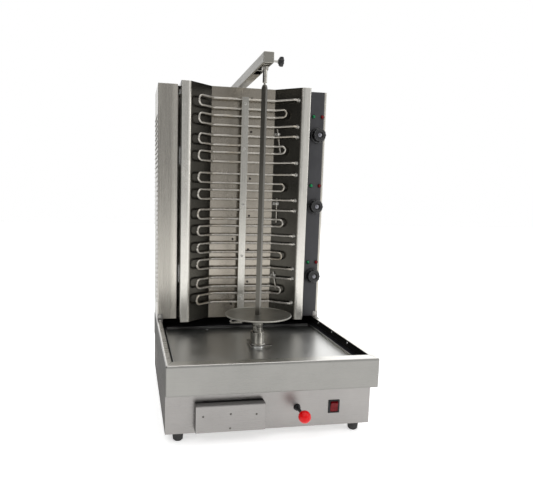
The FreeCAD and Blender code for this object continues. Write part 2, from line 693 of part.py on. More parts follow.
# ---- arm and mast ---------------------------------------------------------------------
arm_x = (axis_x - arm_side / 2, axis_x + arm_side / 2)
arm_top_z = arm_bottom_z + arm_side
arm_slot_d = (arm_tip_d + 6, 331.0)
stud_z = arm_bottom_z + arm_side / 2
carrier_half_length = 15.0
pin_radius = 6.0
strap_heights = (330.0, 830.0)
strap_height = 30.0
strap_screw_x = 36.0


def square_tube(x, d, z, along):
    """Square tube with rounded outer and inner corners along one axis."""
    outer = round_edges(box(*x, *d, *z), 3.0, lambda c, e: is_along(e, along))
    w = tube_wall
    grow = 1.0
    spans = {
        "y": (x[0] + w, x[1] - w, d[0] - grow, d[1] + grow, z[0] + w, z[1] - w),
        "z": (x[0] + w, x[1] - w, d[0] + w, d[1] - w, z[0] - grow, z[1] + grow),
    }
    inner = box(*spans["y" if along == BACK else "z"])
    return outer, round_edges(inner, 1.2, lambda c, e: is_along(e, along))


def arm_tube():
    """Horizontal arm: square tube, closed ends, open slot below for the pin, slot for the clamp."""
    outer, inner = square_tube(arm_x, (arm_tip_d, mast_d[1]), (arm_bottom_z, arm_top_z), BACK)
    outer = round_edges(outer, 1.4, lambda c, e: c.y < front_y + arm_tip_d + 0.1)
    caps = box(arm_x[0] - 1, arm_x[1] + 1, arm_tip_d - 1, arm_tip_d + tube_wall,
               arm_bottom_z - 1, arm_top_z + 1)
    rear_cap = box(arm_x[0] - 1, arm_x[1] + 1, mast_d[1] - tube_wall, mast_d[1] + 1,
                   arm_bottom_z - 1, arm_top_z + 1)
    hollow = inner.cut(caps).cut(rear_cap)
    pin_slot = box(axis_x - 9.5, axis_x + 9.5, *arm_slot_d, arm_bottom_z - through, arm_bottom_z + 4)
    clamp_slot = box(axis_x + 8, arm_x[1] + 1, axis_d - 4.5, axis_d + slide_travel + 4.5,
                     stud_z - 3.6, stud_z + 3.6)
    clamp_slot = round_edges(clamp_slot, 3.5, lambda c, e: is_along(e, RIGHT))
    return cut(outer, [hollow, pin_slot, clamp_slot])


def mast_post():
    """Upright at the back of the housing that carries the arm, with two fixing straps."""
    outer, inner = square_tube(arm_x, mast_d, (240.0, arm_bottom_z), UP)
    strap_wall = 2.0
    straps = []
    for z in strap_heights:
        strap = box(axis_x - 46, axis_x + 46, mast_d[0], mast_d[0] + strap_wall, z, z + strap_height)
        straps.append(strap.cut(outer))
    holes = [rod(screw_hole_radius, point(axis_x + side * strap_screw_x, mast_d[0] - 1, z + strap_height / 2),
                 point(axis_x + side * strap_screw_x, mast_d[0] + 4, z + strap_height / 2))
             for side in (-1, 1) for z in strap_heights]
    return cut(fuse([outer.cut(inner)] + straps), holes)


def pin_carrier():
    """Block that slides in the arm, with a hexagonal nose below it that guides the pin."""
    inner_half = arm_side / 2 - tube_wall
    block = box(axis_x - inner_half + 0.3, axis_x + inner_half - 0.3, axis_d - carrier_half_length,
                axis_d + carrier_half_length, arm_bottom_z + tube_wall + 0.15, arm_top_z - tube_wall - 0.6)
    block = round_edges(block, 1.5, lambda c, e: is_along(e, BACK))
    base = point(axis_x, axis_d, arm_bottom_z - 10)
    nose = hexagon_bar(base, 9.0, UP * 13)
    pin_bore = rod(pin_radius + 0.05, point(axis_x, axis_d, arm_bottom_z - 11),
                   point(axis_x, axis_d, arm_top_z))
    stud_bore = rod(3.05, point(axis_x + pin_radius, axis_d, stud_z), point(axis_x + 20, axis_d, stud_z))
    return cut(fuse([block, nose]), [pin_bore, stud_bore])


def top_pin():
    """Stepped centre pin: thick body held in the carrier, thin tip in the top of the spit."""
    body = rod(pin_radius, point(axis_x, axis_d, 898), point(axis_x, axis_d, 947))
    body = round_edges(body, 0.8, lambda c, e: isinstance(e.Curve, Part.Circle))
    tip = rod(3.0, point(axis_x, axis_d, spit_top_z - 12), point(axis_x, axis_d, 898.5))
    return fuse([body, tip])


def clamp_knob():
    """Seven-lobed star knob moulded on the stud that locks the carrier and the pin."""
    stud = rod(3.0, point(axis_x + pin_radius + 0.5, axis_d, stud_z), point(axis_x + 38, axis_d, stud_z))
    knob_start = axis_x + 34.5
    core = rod(10.2, point(knob_start + 3, axis_d, stud_z), point(knob_start + 14.5, axis_d, stud_z))
    neck = rod(6.0, point(knob_start, axis_d, stud_z), point(knob_start + 3.5, axis_d, stud_z))
    lobes = []
    for index in range(7):
        angle = 2 * math.pi * index / 7
        side, up = 9.4 * math.cos(angle), 9.4 * math.sin(angle)
        lobe = rod(3.4, point(knob_start + 3, axis_d + side, stud_z + up),
                   point(knob_start + 14.5, axis_d + side, stud_z + up))
        lobes.append(round_edges(lobe, 1.4, lambda c, e: isinstance(e.Curve, Part.Circle)))
    return fuse([stud, core, neck] + lobes)


# ---- heater housing -------------------------------------------------------------------
pillar_inner_x = 203.5      # inner edge of the left pillar
panel_x = (199.0, 255.0)    # control panel, left and right edge
bracket_screw_z = 223.0
bracket_x = ((-262.0, -246.0), (246.0, 262.0))
bracket_middle_x = 254.0
cover_low_z = 188.0         # lower edge of the rear cover
vent_pitch = 16.0
vent_width = 5.0
lid_vent_pitch = 14
lid_vent_d = (520.0, 600.0)
cable_hole_radius = 10.0
return_depth = 24.0         # inner fold of a pillar
louver_pitch = 15.0
louver_first_z = 262.0
louver_count = 39
louver_d = (478.0, 606.0)
louver_out = 3.0


def louver_cut(side, z):
    """Opening under one louver."""
    x_inner = housing_half_width - sheet - 1
    x_outer = housing_half_width + 1
    return box(*sorted((side * x_inner, side * x_outer)), louver_d[0] + 2, louver_d[1] - 2,
               z + 1.0, z + 7.0)


def louver_blade(side, z):
    """Pressed louver: a thin blade that leans out and down over its opening."""
    x0 = housing_half_width - 0.8
    x1 = housing_half_width + louver_out
    section = [(x0, z + 9.5), (x1, z + 2.0), (x1, z + 0.6), (x1 - 1.1, z + 0.6), (x0 - 0.6, z + 8.0)]
    blade = prism([point(side * x, louver_d[0], h) for x, h in section], BACK * (louver_d[1] - louver_d[0]))
    cheek = [(x0, z + 9.5), (x1, z + 2.0), (x1, z + 0.6), (x0, z + 0.6)]
    cheeks = [prism([point(side * x, d, h) for x, h in cheek], BACK * 1.2)
              for d in (louver_d[0], louver_d[1] - 1.2)]
    return [blade] + cheeks


def side_shell(side, front_edge_x):
    """Side of the housing: front face or edge, side wall with louvers, and a rear fold."""
    outer_x = housing_half_width
    z0, z1 = housing_bottom_z, housing_top_z
    back_d = housing_back_d - sheet
    body = box(*sorted((side * front_edge_x, side * outer_x)), housing_front_d, back_d, z0, z1)
    body = round_edges(body, 3.0, lambda c, e: (
        is_along(e, UP) and c.y < front_y + housing_front_d + 1 and c.x * side > outer_x - 1))
    hollow = box(*sorted((side * (front_edge_x - 1), side * (outer_x - sheet))),
                 housing_front_d + sheet, back_d + 1, z0 - 1, z1 + 1)
    hollow = round_edges(hollow, 1.5, lambda c, e: (
        is_along(e, UP) and c.y < front_y + housing_front_d + 3 and c.x * side > outer_x - 3))
    return body.cut(hollow)


def add_louvers(shell, side):
    heights = [louver_first_z + louver_pitch * i for i in range(louver_count)]
    shell = cut(shell, [louver_cut(side, z) for z in heights])
    blades = [piece for z in heights for piece in louver_blade(side, z)]
    return shell.multiFuse(blades)


def bracket_hole(side):
    """Hole for the screw that fixes the housing to its front bracket."""
    return rod(2.6, point(side * bracket_middle_x, housing_front_d - 1, bracket_screw_z),
               point(side * bracket_middle_x, housing_front_d + 5, bracket_screw_z))


def left_side_shell():
    """Left pillar and side wall, with an inner fold beside the reflector."""
    shell = side_shell(-1, pillar_inner_x)
    fold = box(-pillar_inner_x - sheet, -pillar_inner_x, housing_front_d, housing_front_d + return_depth,
               housing_bottom_z, housing_top_z)
    return add_louvers(fuse([shell, fold]).cut(bracket_hole(-1)), -1)


def right_side_shell():
    """Right side wall with the narrow bright edge beside the control panel."""
    return add_louvers(side_shell(1, panel_x[1]).cut(bracket_hole(1)), 1)


def control_panel():
    """Dark front plate on the right with holes for the lamps and the thermostat spindles."""
    plate = box(panel_x[0], panel_x[1], housing_front_d, housing_front_d + 2, housing_bottom_z, housing_top_z)
    fold = box(panel_x[0], panel_x[0] + 2, housing_front_d, housing_front_d + return_depth,
               housing_bottom_z, housing_top_z)
    holes = []
    for z in lamp_heights:
        for x in lamp_x:
            holes.append(rod(4.1, point(x, housing_front_d - 1, z), point(x, housing_front_d + 3, z)))
    for x, z in knob_positions:
        holes.append(rod(5.0, point(x, housing_front_d - 1, z), point(x, housing_front_d + 3, z)))
    return cut(fuse([plate, fold]), holes + [bracket_hole(1)])


def reflector_outline(offset):
    """Plan outline of the reflector sheet, moved forward by offset from its front surface."""
    wing = Vector(flange_x[0] - reflector_back_x, flange_d - reflector_back_d, 0)
    length = wing.Length
    tilt = math.atan2(-wing.y, wing.x)
    back = reflector_back_x - offset * math.tan(tilt / 2)
    corner = flange_x[0] + offset * math.tan(tilt / 2)
    return {"length": length, "tilt": tilt, "back": back, "corner": corner}


def bend(shape, x, d, radius):
    """Round the two mirrored upright edges at one place of the plan."""
    return round_edges(shape, radius, lambda c, e: (
        is_along(e, UP) and abs(abs(c.x) - x) < 0.05 and abs(c.y - front_y - d) < 0.05))


def reflector():
    """Polished reflector: flat back, two splayed wings, two front flanges with rear folds."""
    t = thin_sheet
    r = reflector_outline(0)
    grown = reflector_outline(-t)
    fold_d = housing_front_d + return_depth
    half = [(flange_x[1], fold_d), (flange_x[1], flange_d), (r["corner"], flange_d),
            (r["back"], reflector_back_d)]
    inner = [(grown["back"], reflector_back_d + t), (grown["corner"], flange_d + t),
             (flange_x[1] - t, flange_d + t), (flange_x[1] - t, fold_d)]
    front_side = half + [(-x, d) for x, d in reversed(half)]
    rear_side = [(-x, d) for x, d in reversed(inner)] + inner
    outline = [point(x, d, reflector_z[0]) for x, d in front_side + rear_side]
    sheet_solid = prism(outline, UP * (reflector_z[1] - reflector_z[0]))
    sheet_solid = bend(sheet_solid, r["corner"], flange_d, front_bend)
    sheet_solid = bend(sheet_solid, grown["corner"], flange_d + t, front_bend - t)
    sheet_solid = bend(sheet_solid, flange_x[1], flange_d, fold_bend)
    sheet_solid = bend(sheet_solid, flange_x[1] - t, flange_d + t, fold_bend - t)
    holes = [rod(4.8, place - out * 4, place + out * 4) for place, out in terminal_places()]
    return cut(sheet_solid, holes)


def wing_point(side, along, off, z):
    """A point on a wing: distance along it from the back corner, distance in front of it."""
    r = reflector_outline(0)
    across = Vector(math.cos(r["tilt"]) * side, -math.sin(r["tilt"]), 0)
    normal = Vector(-math.sin(r["tilt"]) * side, -math.cos(r["tilt"]), 0)
    return point(side * reflector_back_x, reflector_back_d, z) + across * along + normal * off


def wing_normal(side):
    tilt = reflector_outline(0)["tilt"]
    return Vector(-math.sin(tilt) * side, -math.cos(tilt), 0)


terminal_along = 77.0       # where a terminal passes the right wing
left_bend_along = 71.0      # outermost tube centre of the left bends, along the wing
right_bend_along = 45.0     # outermost tube centre of the right bends


def terminal_places():
    """Surface point and outward normal of each of the twelve terminals."""
    places = []
    for height in element_heights:
        for z in (height + outer_run, height - outer_run):
            places.append((wing_point(1, terminal_along, 0, z), wing_normal(1)))
    return places


def heater_element(height):
    """One M-shaped tubular element: four runs, two bends on the left, one on the right."""
    corner_radius = 20.0
    terminal_radius = 8.0
    outer_bend = (outer_run - inner_run) / 2
    r = reflector_outline(standoff)

    def back_corner(side, z):
        return point(side * r["back"], reflector_back_d - standoff, z)

    top, upper = height + outer_run, height + inner_run
    lower, bottom = height - inner_run, height - outer_run
    points = [
        wing_point(1, terminal_along, -16, top), wing_point(1, terminal_along, standoff, top),
        back_corner(1, top), back_corner(-1, top),
        wing_point(-1, left_bend_along, standoff, top), wing_point(-1, left_bend_along, standoff, upper),
        back_corner(-1, upper), back_corner(1, upper),
        wing_point(1, right_bend_along, standoff, upper), wing_point(1, right_bend_along, standoff, lower),
        back_corner(1, lower), back_corner(-1, lower),
        wing_point(-1, left_bend_along, standoff, lower), wing_point(-1, left_bend_along, standoff, bottom),
        back_corner(-1, bottom), back_corner(1, bottom),
        wing_point(1, terminal_along, standoff, bottom), wing_point(1, terminal_along, -16, bottom),
    ]
    corners = [corner_radius, corner_radius]
    left_bend = [outer_bend, outer_bend]
    right_bend = [inner_run, inner_run]
    radii = ([terminal_radius] + corners + left_bend + corners + right_bend + corners + left_bend
             + corners + [terminal_radius])
    return swept_tube(rounded_path(points, radii), element_tube / 2)


def heater_bushings():
    """Flared ferrule and nut of each terminal, clamped through the right wing."""
    bushings = []
    for place, out in terminal_places():
        cone = Part.makeCone(7.0, 4.4, 8.0, place, out)
        neck = rod(4.7, place - out * (thin_sheet + 5), place)
        nut = rod(7.5, place - out * (thin_sheet + 4), place - out * thin_sheet)
        bore = rod(element_tube / 2 + 0.05, place - out * 12, place + out * 12)
        bushings.append(cut(fuse([cone, neck, nut]), [bore]))
    return group(bushings)


strip_half_width = 10.5
strip_d = 436.5
strip_z = (236.0, 898.0)
strip_screw_z = (878.0, 743.5, 574.0, 414.5, 279.5)


def clamp_strip():
    """Folded channel in front of the elements, with a bent foot at its lower end."""
    back_d = reflector_back_d - standoff - element_tube / 2 - 0.2
    channel = box(-strip_half_width, strip_half_width, strip_d, back_d, *strip_z)
    hollow = box(-strip_half_width + thin_sheet, strip_half_width - thin_sheet, strip_d + thin_sheet,
                 back_d + 1, strip_z[0] - 1, strip_z[1] + 1)
    foot_z = 203.0
    leg = box(-strip_half_width, strip_half_width, strip_d, strip_d + thin_sheet, foot_z, strip_z[0])
    foot = box(-34, strip_half_width, strip_d - 9, strip_d + thin_sheet, foot_z, foot_z + thin_sheet)
    lip = box(-34, 4, strip_d - 9, strip_d - 9 + thin_sheet, foot_z - 3.5, foot_z + thin_sheet)
    brace = rod(1.0, point(-33, strip_d - 1, foot_z + 0.6),
                point(-strip_half_width + 0.5, strip_d + 0.6, 226))
    holes = [rod(2.2, point(0, strip_d - 1, z), point(0, strip_d + 3, z)) for z in strip_screw_z]
    return cut(fuse([channel.cut(hollow), leg, foot, lip, brace]), holes)


def strip_spacers():
    """Tubular spacers between the clamp strip and the reflector."""
    return group([tube(4.0, 2.1, point(0, strip_d + thin_sheet, z), point(0, reflector_back_d, z))
                  for z in strip_screw_z])


back_screw_places = ((25.5, 898.0), (25.5, 798.0), (25.5, 655.0), (25.5, 539.0), (25.5, 432.0), (25.5, 328.0),
                     (-26.0, 465.0), (-26.0, 346.0), (-26.0, 255.0))


def reflector_screws():
    """Screws of the clamp strip and of the reflector's back."""
    screws = [screw(point(0, strip_d, z), -BACK, 4.2, 2.4, 2.0, 20) for z in strip_screw_z]
    screws += [screw(point(x, reflector_back_d, z), -BACK, 3.6, 2.0) for x, z in back_screw_places]
    return group(screws)


# top and bottom distance along the right wing, height of the top, and length of each sensor
sensor_places = ((12.0, 24.0, 809.0, 73.0), (18.0, 18.0, 596.0, 78.0), (14.0, 24.0, 361.0, 54.0))
sensor_radius = 2.5
sensor_off = 4.0


def sensor_ends(top_along, bottom_along, top_z, length):
    top = wing_point(1, top_along, sensor_off, top_z)
    bottom = wing_point(1, bottom_along, sensor_off, top_z - length)
    return top, bottom


def sensor_bulbs():
    """Three thermostat sensing bulbs lying on the right wing, behind the tubes."""
    bulbs = []
    for place in sensor_places:
        top, bottom = sensor_ends(*place)
        bulb = rod(sensor_radius, top, bottom)
        bulbs.append(round_edges(bulb, 1.6, lambda c, e: isinstance(e.Curve, Part.Circle)))
    return group(bulbs)


def bulb_clips():
    """Saddle clip over each sensing bulb, with its screw."""
    clips = []
    for place in sensor_places:
        top, bottom = sensor_ends(*place)
        middle = top + (bottom - top) * 0.22
        out = wing_normal(1)
        along = Vector(-out.y, out.x, 0)
        base = middle - out * sensor_off
        corner = base + along * 5.5 - UP * 4
        far_corner = corner - along * 20
        strap = prism([corner, far_corner, far_corner + out * 1.2, corner + out * 1.2], UP * 8)
        hump = rod(sensor_radius + 1.4, middle - UP * 4, middle + UP * 4)
        bulb = rod(sensor_radius + 0.05, top, bottom)
        low_corner = base + along * 30 - UP * 30
        wing = prism([low_corner, low_corner - along * 60, low_corner - along * 60 - out * 9,
                      low_corner - out * 9], UP * 60)
        clips.append(cut(fuse([strap, hump]), [bulb, wing]))
        clips.append(screw(base - along * 10.5 + out * 1.2, out, 2.8, 1.8))
    return group(clips)


def housing_plate(z):
    """Floor or lid of the housing: fits between the shells and behind the reflector sheet."""
    gap = thin_sheet + 0.1
    fold_end = housing_front_d + return_depth + 0.2
    r = reflector_outline(-gap)
    inner_x = flange_x[1] - gap
    outer_x = housing_half_width - sheet - 0.1
    front = housing_front_d + 2.1
    halves = []
    for side, step_x in ((1, panel_x[0] + 2.2), (-1, pillar_inner_x + sheet + 0.2)):
        plan = [(outer_x, housing_back_d - sheet - 0.1), (outer_x, front), (step_x, front),
                (step_x, fold_end), (inner_x, fold_end), (inner_x, flange_d + gap),
                (r["corner"], flange_d + gap), (r["back"], reflector_back_d + gap)]
        halves.append([point(side * x, d, z) for x, d in plan])
    plate = prism(halves[0] + halves[1][::-1], UP * sheet)
    plate = bend(plate, r["corner"], flange_d + gap, front_bend - gap)
    return bend(plate, inner_x, flange_d + gap, fold_bend - gap)


def housing_floor():
    """Floor of the heater housing, with cable holes."""
    plate = housing_plate(housing_bottom_z)
    holes = [rod(cable_hole_radius, point(x, 570, housing_bottom_z - through),
                 point(x, 570, housing_bottom_z + sheet + through)) for x in (-190.0, -120.0)]
    return cut(plate, holes)


def top_cover():
    """Lid of the heater housing with two rows of vent slots."""
    z0 = housing_top_z - sheet
    slots = [box(x, x + vent_width, *lid_vent_d, z0 - through, z0 + sheet + through)
             for start in (-230, 60) for x in range(start, start + 160, lid_vent_pitch)]
    return cut(housing_plate(z0), slots)


def back_cover():
    """Rear cover: a tray that hooks over the back of the base, with vent slots."""
    plate = box(-housing_half_width, housing_half_width, housing_back_d - sheet, housing_back_d,
                cover_low_z, housing_top_z)
    shelf = box(-housing_half_width, housing_half_width, base_depth + 0.5, housing_back_d - sheet,
                cover_low_z, cover_low_z + sheet)
    cheeks = [box(*sorted((side * (housing_half_width - sheet), side * housing_half_width)), base_depth + 0.5,
                  housing_back_d - sheet, cover_low_z, housing_bottom_z) for side in (-1, 1)]
    slots = [box(start + vent_pitch * i, start + vent_pitch * i + vent_width,
                 housing_back_d - 2 * sheet, housing_back_d + through, z, z + 60)
             for start in (-225, 75) for i in range(10) for z in (300, 700)]
    return cut(fuse([plate, shelf] + cheeks), slots)


def housing_brackets():
    """Angle brackets and spacers that stand the housing on the rim of the base."""
    pieces = []
    for x0, x1 in bracket_x:
        foot = box(x0, x1, housing_front_d - 18, housing_front_d, rim_z, rim_z + 1.5)
        leg = box(x0, x1, housing_front_d - 1.5, housing_front_d, rim_z, bracket_screw_z + 7)
        centre_x = (x0 + x1) / 2
        holes = [rod(2.6, point(centre_x, housing_front_d - 4, bracket_screw_z),
                     point(centre_x, housing_front_d + 1, bracket_screw_z)),
                 rod(2.6, point(centre_x, housing_front_d - 10, rim_z - 1),
                     point(centre_x, housing_front_d - 10, rim_z + 3))]
        pieces.append(cut(fuse([foot, leg]), holes))
        pieces.append(box(x0 + 1, x1 - 1, housing_front_d + 4, base_depth - 20, rim_z, housing_bottom_z))
    return group(pieces)


def casing_screws():
    """Machine screws of the brackets, feet, mast straps and rear cover."""
    screws = []
    for x0, x1 in bracket_x:
        centre_x = (x0 + x1) / 2
        screws.append(screw(point(centre_x, housing_front_d - 1.5, bracket_screw_z), -BACK, 5.0, 3.0, 2.5, 7))
        screws.append(screw(point(centre_x, housing_front_d - 10, rim_z + 1.5), UP, 4.5, 2.6))
    for x in (-foot_x, foot_x):
        for d in foot_depths:
            screws.append(screw(point(x, d, 7.0), -UP, 5.0, 3.0, 2.6, 24))
    for side in (-1, 1):
        for z in strap_heights:
            centre = point(axis_x + side * strap_screw_x, mast_d[0] + 2, z + strap_height / 2)
            screws.append(screw(centre, BACK, 5.0, 3.0, 3.1, 1.9))
        for z in (200.0, 410.0, 560.0, 660.0, 910.0):
            screws.append(screw(point(side * 254, housing_back_d, z), BACK, 4.5, 2.6))
    return group(screws)


def thermostat_bodies():
    """Three capillary thermostats behind the control panel."""
    bodies = []
    for x, z in knob_positions:
        x0, x1 = x - 20, x + 18
        front = housing_front_d + 2
        body = box(x0 + 4, x1, front, front + 34, z - 22, z + 22)
        body = round_edges(body, 3.0, lambda c, e: is_along(e, BACK))
        terminals = [box(x0 + 10 + 8 * i, x0 + 16 + 8 * i, front + 34, front + 44, z - 12, z - 11.2)
                     for i in range(3)]
        spindle_bore = rod(3.1, point(x, front - 1, z), point(x, front + 22, z))
        bodies.append(fuse([body] + terminals).cut(spindle_bore))
    return group(bodies)


def lamps(column_x):
    """Pilot lamps: domed lens in front, body behind the panel."""
    pieces = []
    for z in lamp_heights:
        lens = Part.makeSphere(5.2, point(column_x, housing_front_d - 0.6, z))
        lens = lens.common(box(column_x - 6, column_x + 6, housing_front_d - 7, housing_front_d,
                               z - 6, z + 6))
        body = rod(4.0, point(column_x, housing_front_d - 0.5, z), point(column_x, housing_front_d + 24, z))
        pieces.append(fuse([lens, body]))
    return group(pieces)


knob_radius = 25.0
knob_front_d = housing_front_d - 22.0
knob_lobes = 8
lobe_radius = 4.6
lobe_reach = 18.0           # from the spindle to the middle of a lobe


def thermostat_knob(x, z):
    """Lobed control knob with a pointer rib, a raised centre and its spindle."""
    skirt_front = housing_front_d - 6.0
    skirt = rod(knob_radius - 1.0, point(x, skirt_front, z), point(x, housing_front_d - 1.0, z))
    core = Part.makeCone(18.5, 16.5, skirt_front - knob_front_d, point(x, skirt_front, z), -BACK)
    lobes = []
    for index in range(knob_lobes):
        angle = 2 * math.pi * (index + 0.5) / knob_lobes
        lobe_x = x + lobe_reach * math.cos(angle)
        lobe_z = z + lobe_reach * math.sin(angle)
        lobe = rod(lobe_radius, point(lobe_x, knob_front_d + 3.0, lobe_z), point(lobe_x, skirt_front, lobe_z))
        lobes.append(round_edges(lobe, 1.6, lambda c, e: isinstance(e.Curve, Part.Circle)
                                 and c.y < front_y + knob_front_d + 4))
    dish = Part.makeCone(11.5, 9.5, 3.0, point(x, knob_front_d - 0.01, z), BACK)
    cap = rod(7.0, point(x, knob_front_d + 0.6, z), point(x, knob_front_d + 4, z))
    pointer = box(x - 1.2, x + 1.2, knob_front_d + 1.0, skirt_front, z + 14, z + knob_radius - 1.5)
    spindle = rod(3.0, point(x, housing_front_d - 2, z), point(x, housing_front_d + 22, z))
    return fuse([fuse([skirt, core, pointer] + lobes).cut(dish), cap, spindle])


# ---- assembly -------------------------------------------------------------------------
def build():
    shapes = {
        "base_casing": base_casing(),
        "bottom_plate": bottom_plate(),
        "tray_surround": tray_surround(),
        "deck_plate": deck_plate(),
        "drip_pan": drip_pan(),
        "rubber_feet": rubber_feet(),
        "casing_screws": casing_screws(),
        "lever_bush": lever_bush(),
        "rocker_switch": rocker_switch(),
        "rocker_button": rocker_button(),
        "cable_gland": cable_gland(),
        "drawer_rails": drawer_rails(),
        "drawer_box": drawer_box(),
        "drawer_front": drawer_front(),
        "drawer_rivets": drawer_rivets(),
        "carriage_rails": carriage_rails(),
        "carriage_plate": carriage_plate(),
        "gearbox_case": gearbox_case(),
        "slot_cover": slot_cover(),
        "motor_can": motor_can(),
        "lever_rod": lever_rod(),
        "lever_ball": lever_ball(),
        "pinion": pinion(),
        "drive_wheel": drive_wheel(),
        "output_shaft": output_shaft(),
        "coupler": coupler(),
        "spit_disc": spit_disc(),
        "spit_bar": spit_bar(),
        "arm_tube": arm_tube(),
        "mast_post": mast_post(),
        "pin_carrier": pin_carrier(),
        "top_pin": top_pin(),
        "clamp_knob": clamp_knob(),
        "left_side_shell": left_side_shell(),
        "right_side_shell": right_side_shell(),
        "back_cover": back_cover(),
        "housing_floor": housing_floor(),
        "top_cover": top_cover(),
        "housing_brackets": housing_brackets(),
        "reflector": reflector(),
        "control_panel": control_panel(),
        "terminal_block": terminal_block(),
        "heater_bushings": heater_bushings(),
        "clamp_strip": clamp_strip(),
        "strip_spacers": strip_spacers(),
        "reflector_screws": reflector_screws(),
        "sensor_bulbs": sensor_bulbs(),
        "bulb_clips": bulb_clips(),
        "thermostat_bodies": thermostat_bodies(),
        "pilot_lamps_green": lamps(lamp_x[0]),
        "pilot_lamps_red": lamps(lamp_x[1]),
    }
    for index, height in enumerate(element_heights):
        shapes[f"heater_element_{index + 1}"] = heater_element(height)
    for index, (x, z) in enumerate(knob_positions):
        shapes[f"thermostat_knob_{index + 1}"] = thermostat_knob(x, z)
    return shapes


if __name__ == "__main__":
    os.makedirs("parts", exist_ok=True)
    for node_name, node_shape in build().items():
        save(node_name, node_shape)
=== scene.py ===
import json
import math

import bmesh
import bpy
from mathutils import Matrix, Vector


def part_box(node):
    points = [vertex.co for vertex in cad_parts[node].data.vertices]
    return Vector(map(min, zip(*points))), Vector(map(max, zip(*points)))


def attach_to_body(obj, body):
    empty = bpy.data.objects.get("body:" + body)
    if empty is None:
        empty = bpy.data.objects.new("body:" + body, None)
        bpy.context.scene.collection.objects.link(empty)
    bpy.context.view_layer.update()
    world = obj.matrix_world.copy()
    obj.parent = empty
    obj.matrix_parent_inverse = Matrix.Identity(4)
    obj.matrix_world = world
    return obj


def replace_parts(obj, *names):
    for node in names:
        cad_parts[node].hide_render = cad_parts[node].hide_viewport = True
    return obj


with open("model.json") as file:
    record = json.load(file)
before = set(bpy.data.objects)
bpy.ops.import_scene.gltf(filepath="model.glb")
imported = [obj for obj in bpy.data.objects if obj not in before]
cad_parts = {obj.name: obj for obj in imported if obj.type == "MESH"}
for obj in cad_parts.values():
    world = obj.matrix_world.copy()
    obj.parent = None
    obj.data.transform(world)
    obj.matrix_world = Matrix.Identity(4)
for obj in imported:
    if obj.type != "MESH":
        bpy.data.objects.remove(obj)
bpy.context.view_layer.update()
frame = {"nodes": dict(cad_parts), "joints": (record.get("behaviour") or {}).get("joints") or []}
NODES = frame["nodes"]

ROOT = "frame_and_housing"


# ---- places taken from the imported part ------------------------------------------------
def middle(node):
    low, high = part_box(node)
    return (low + high) / 2


def joint_place(name):
    """A hinge's point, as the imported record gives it."""
    return Vector(next(j["pos_m"] for j in frame["joints"] if j["name"] == name))


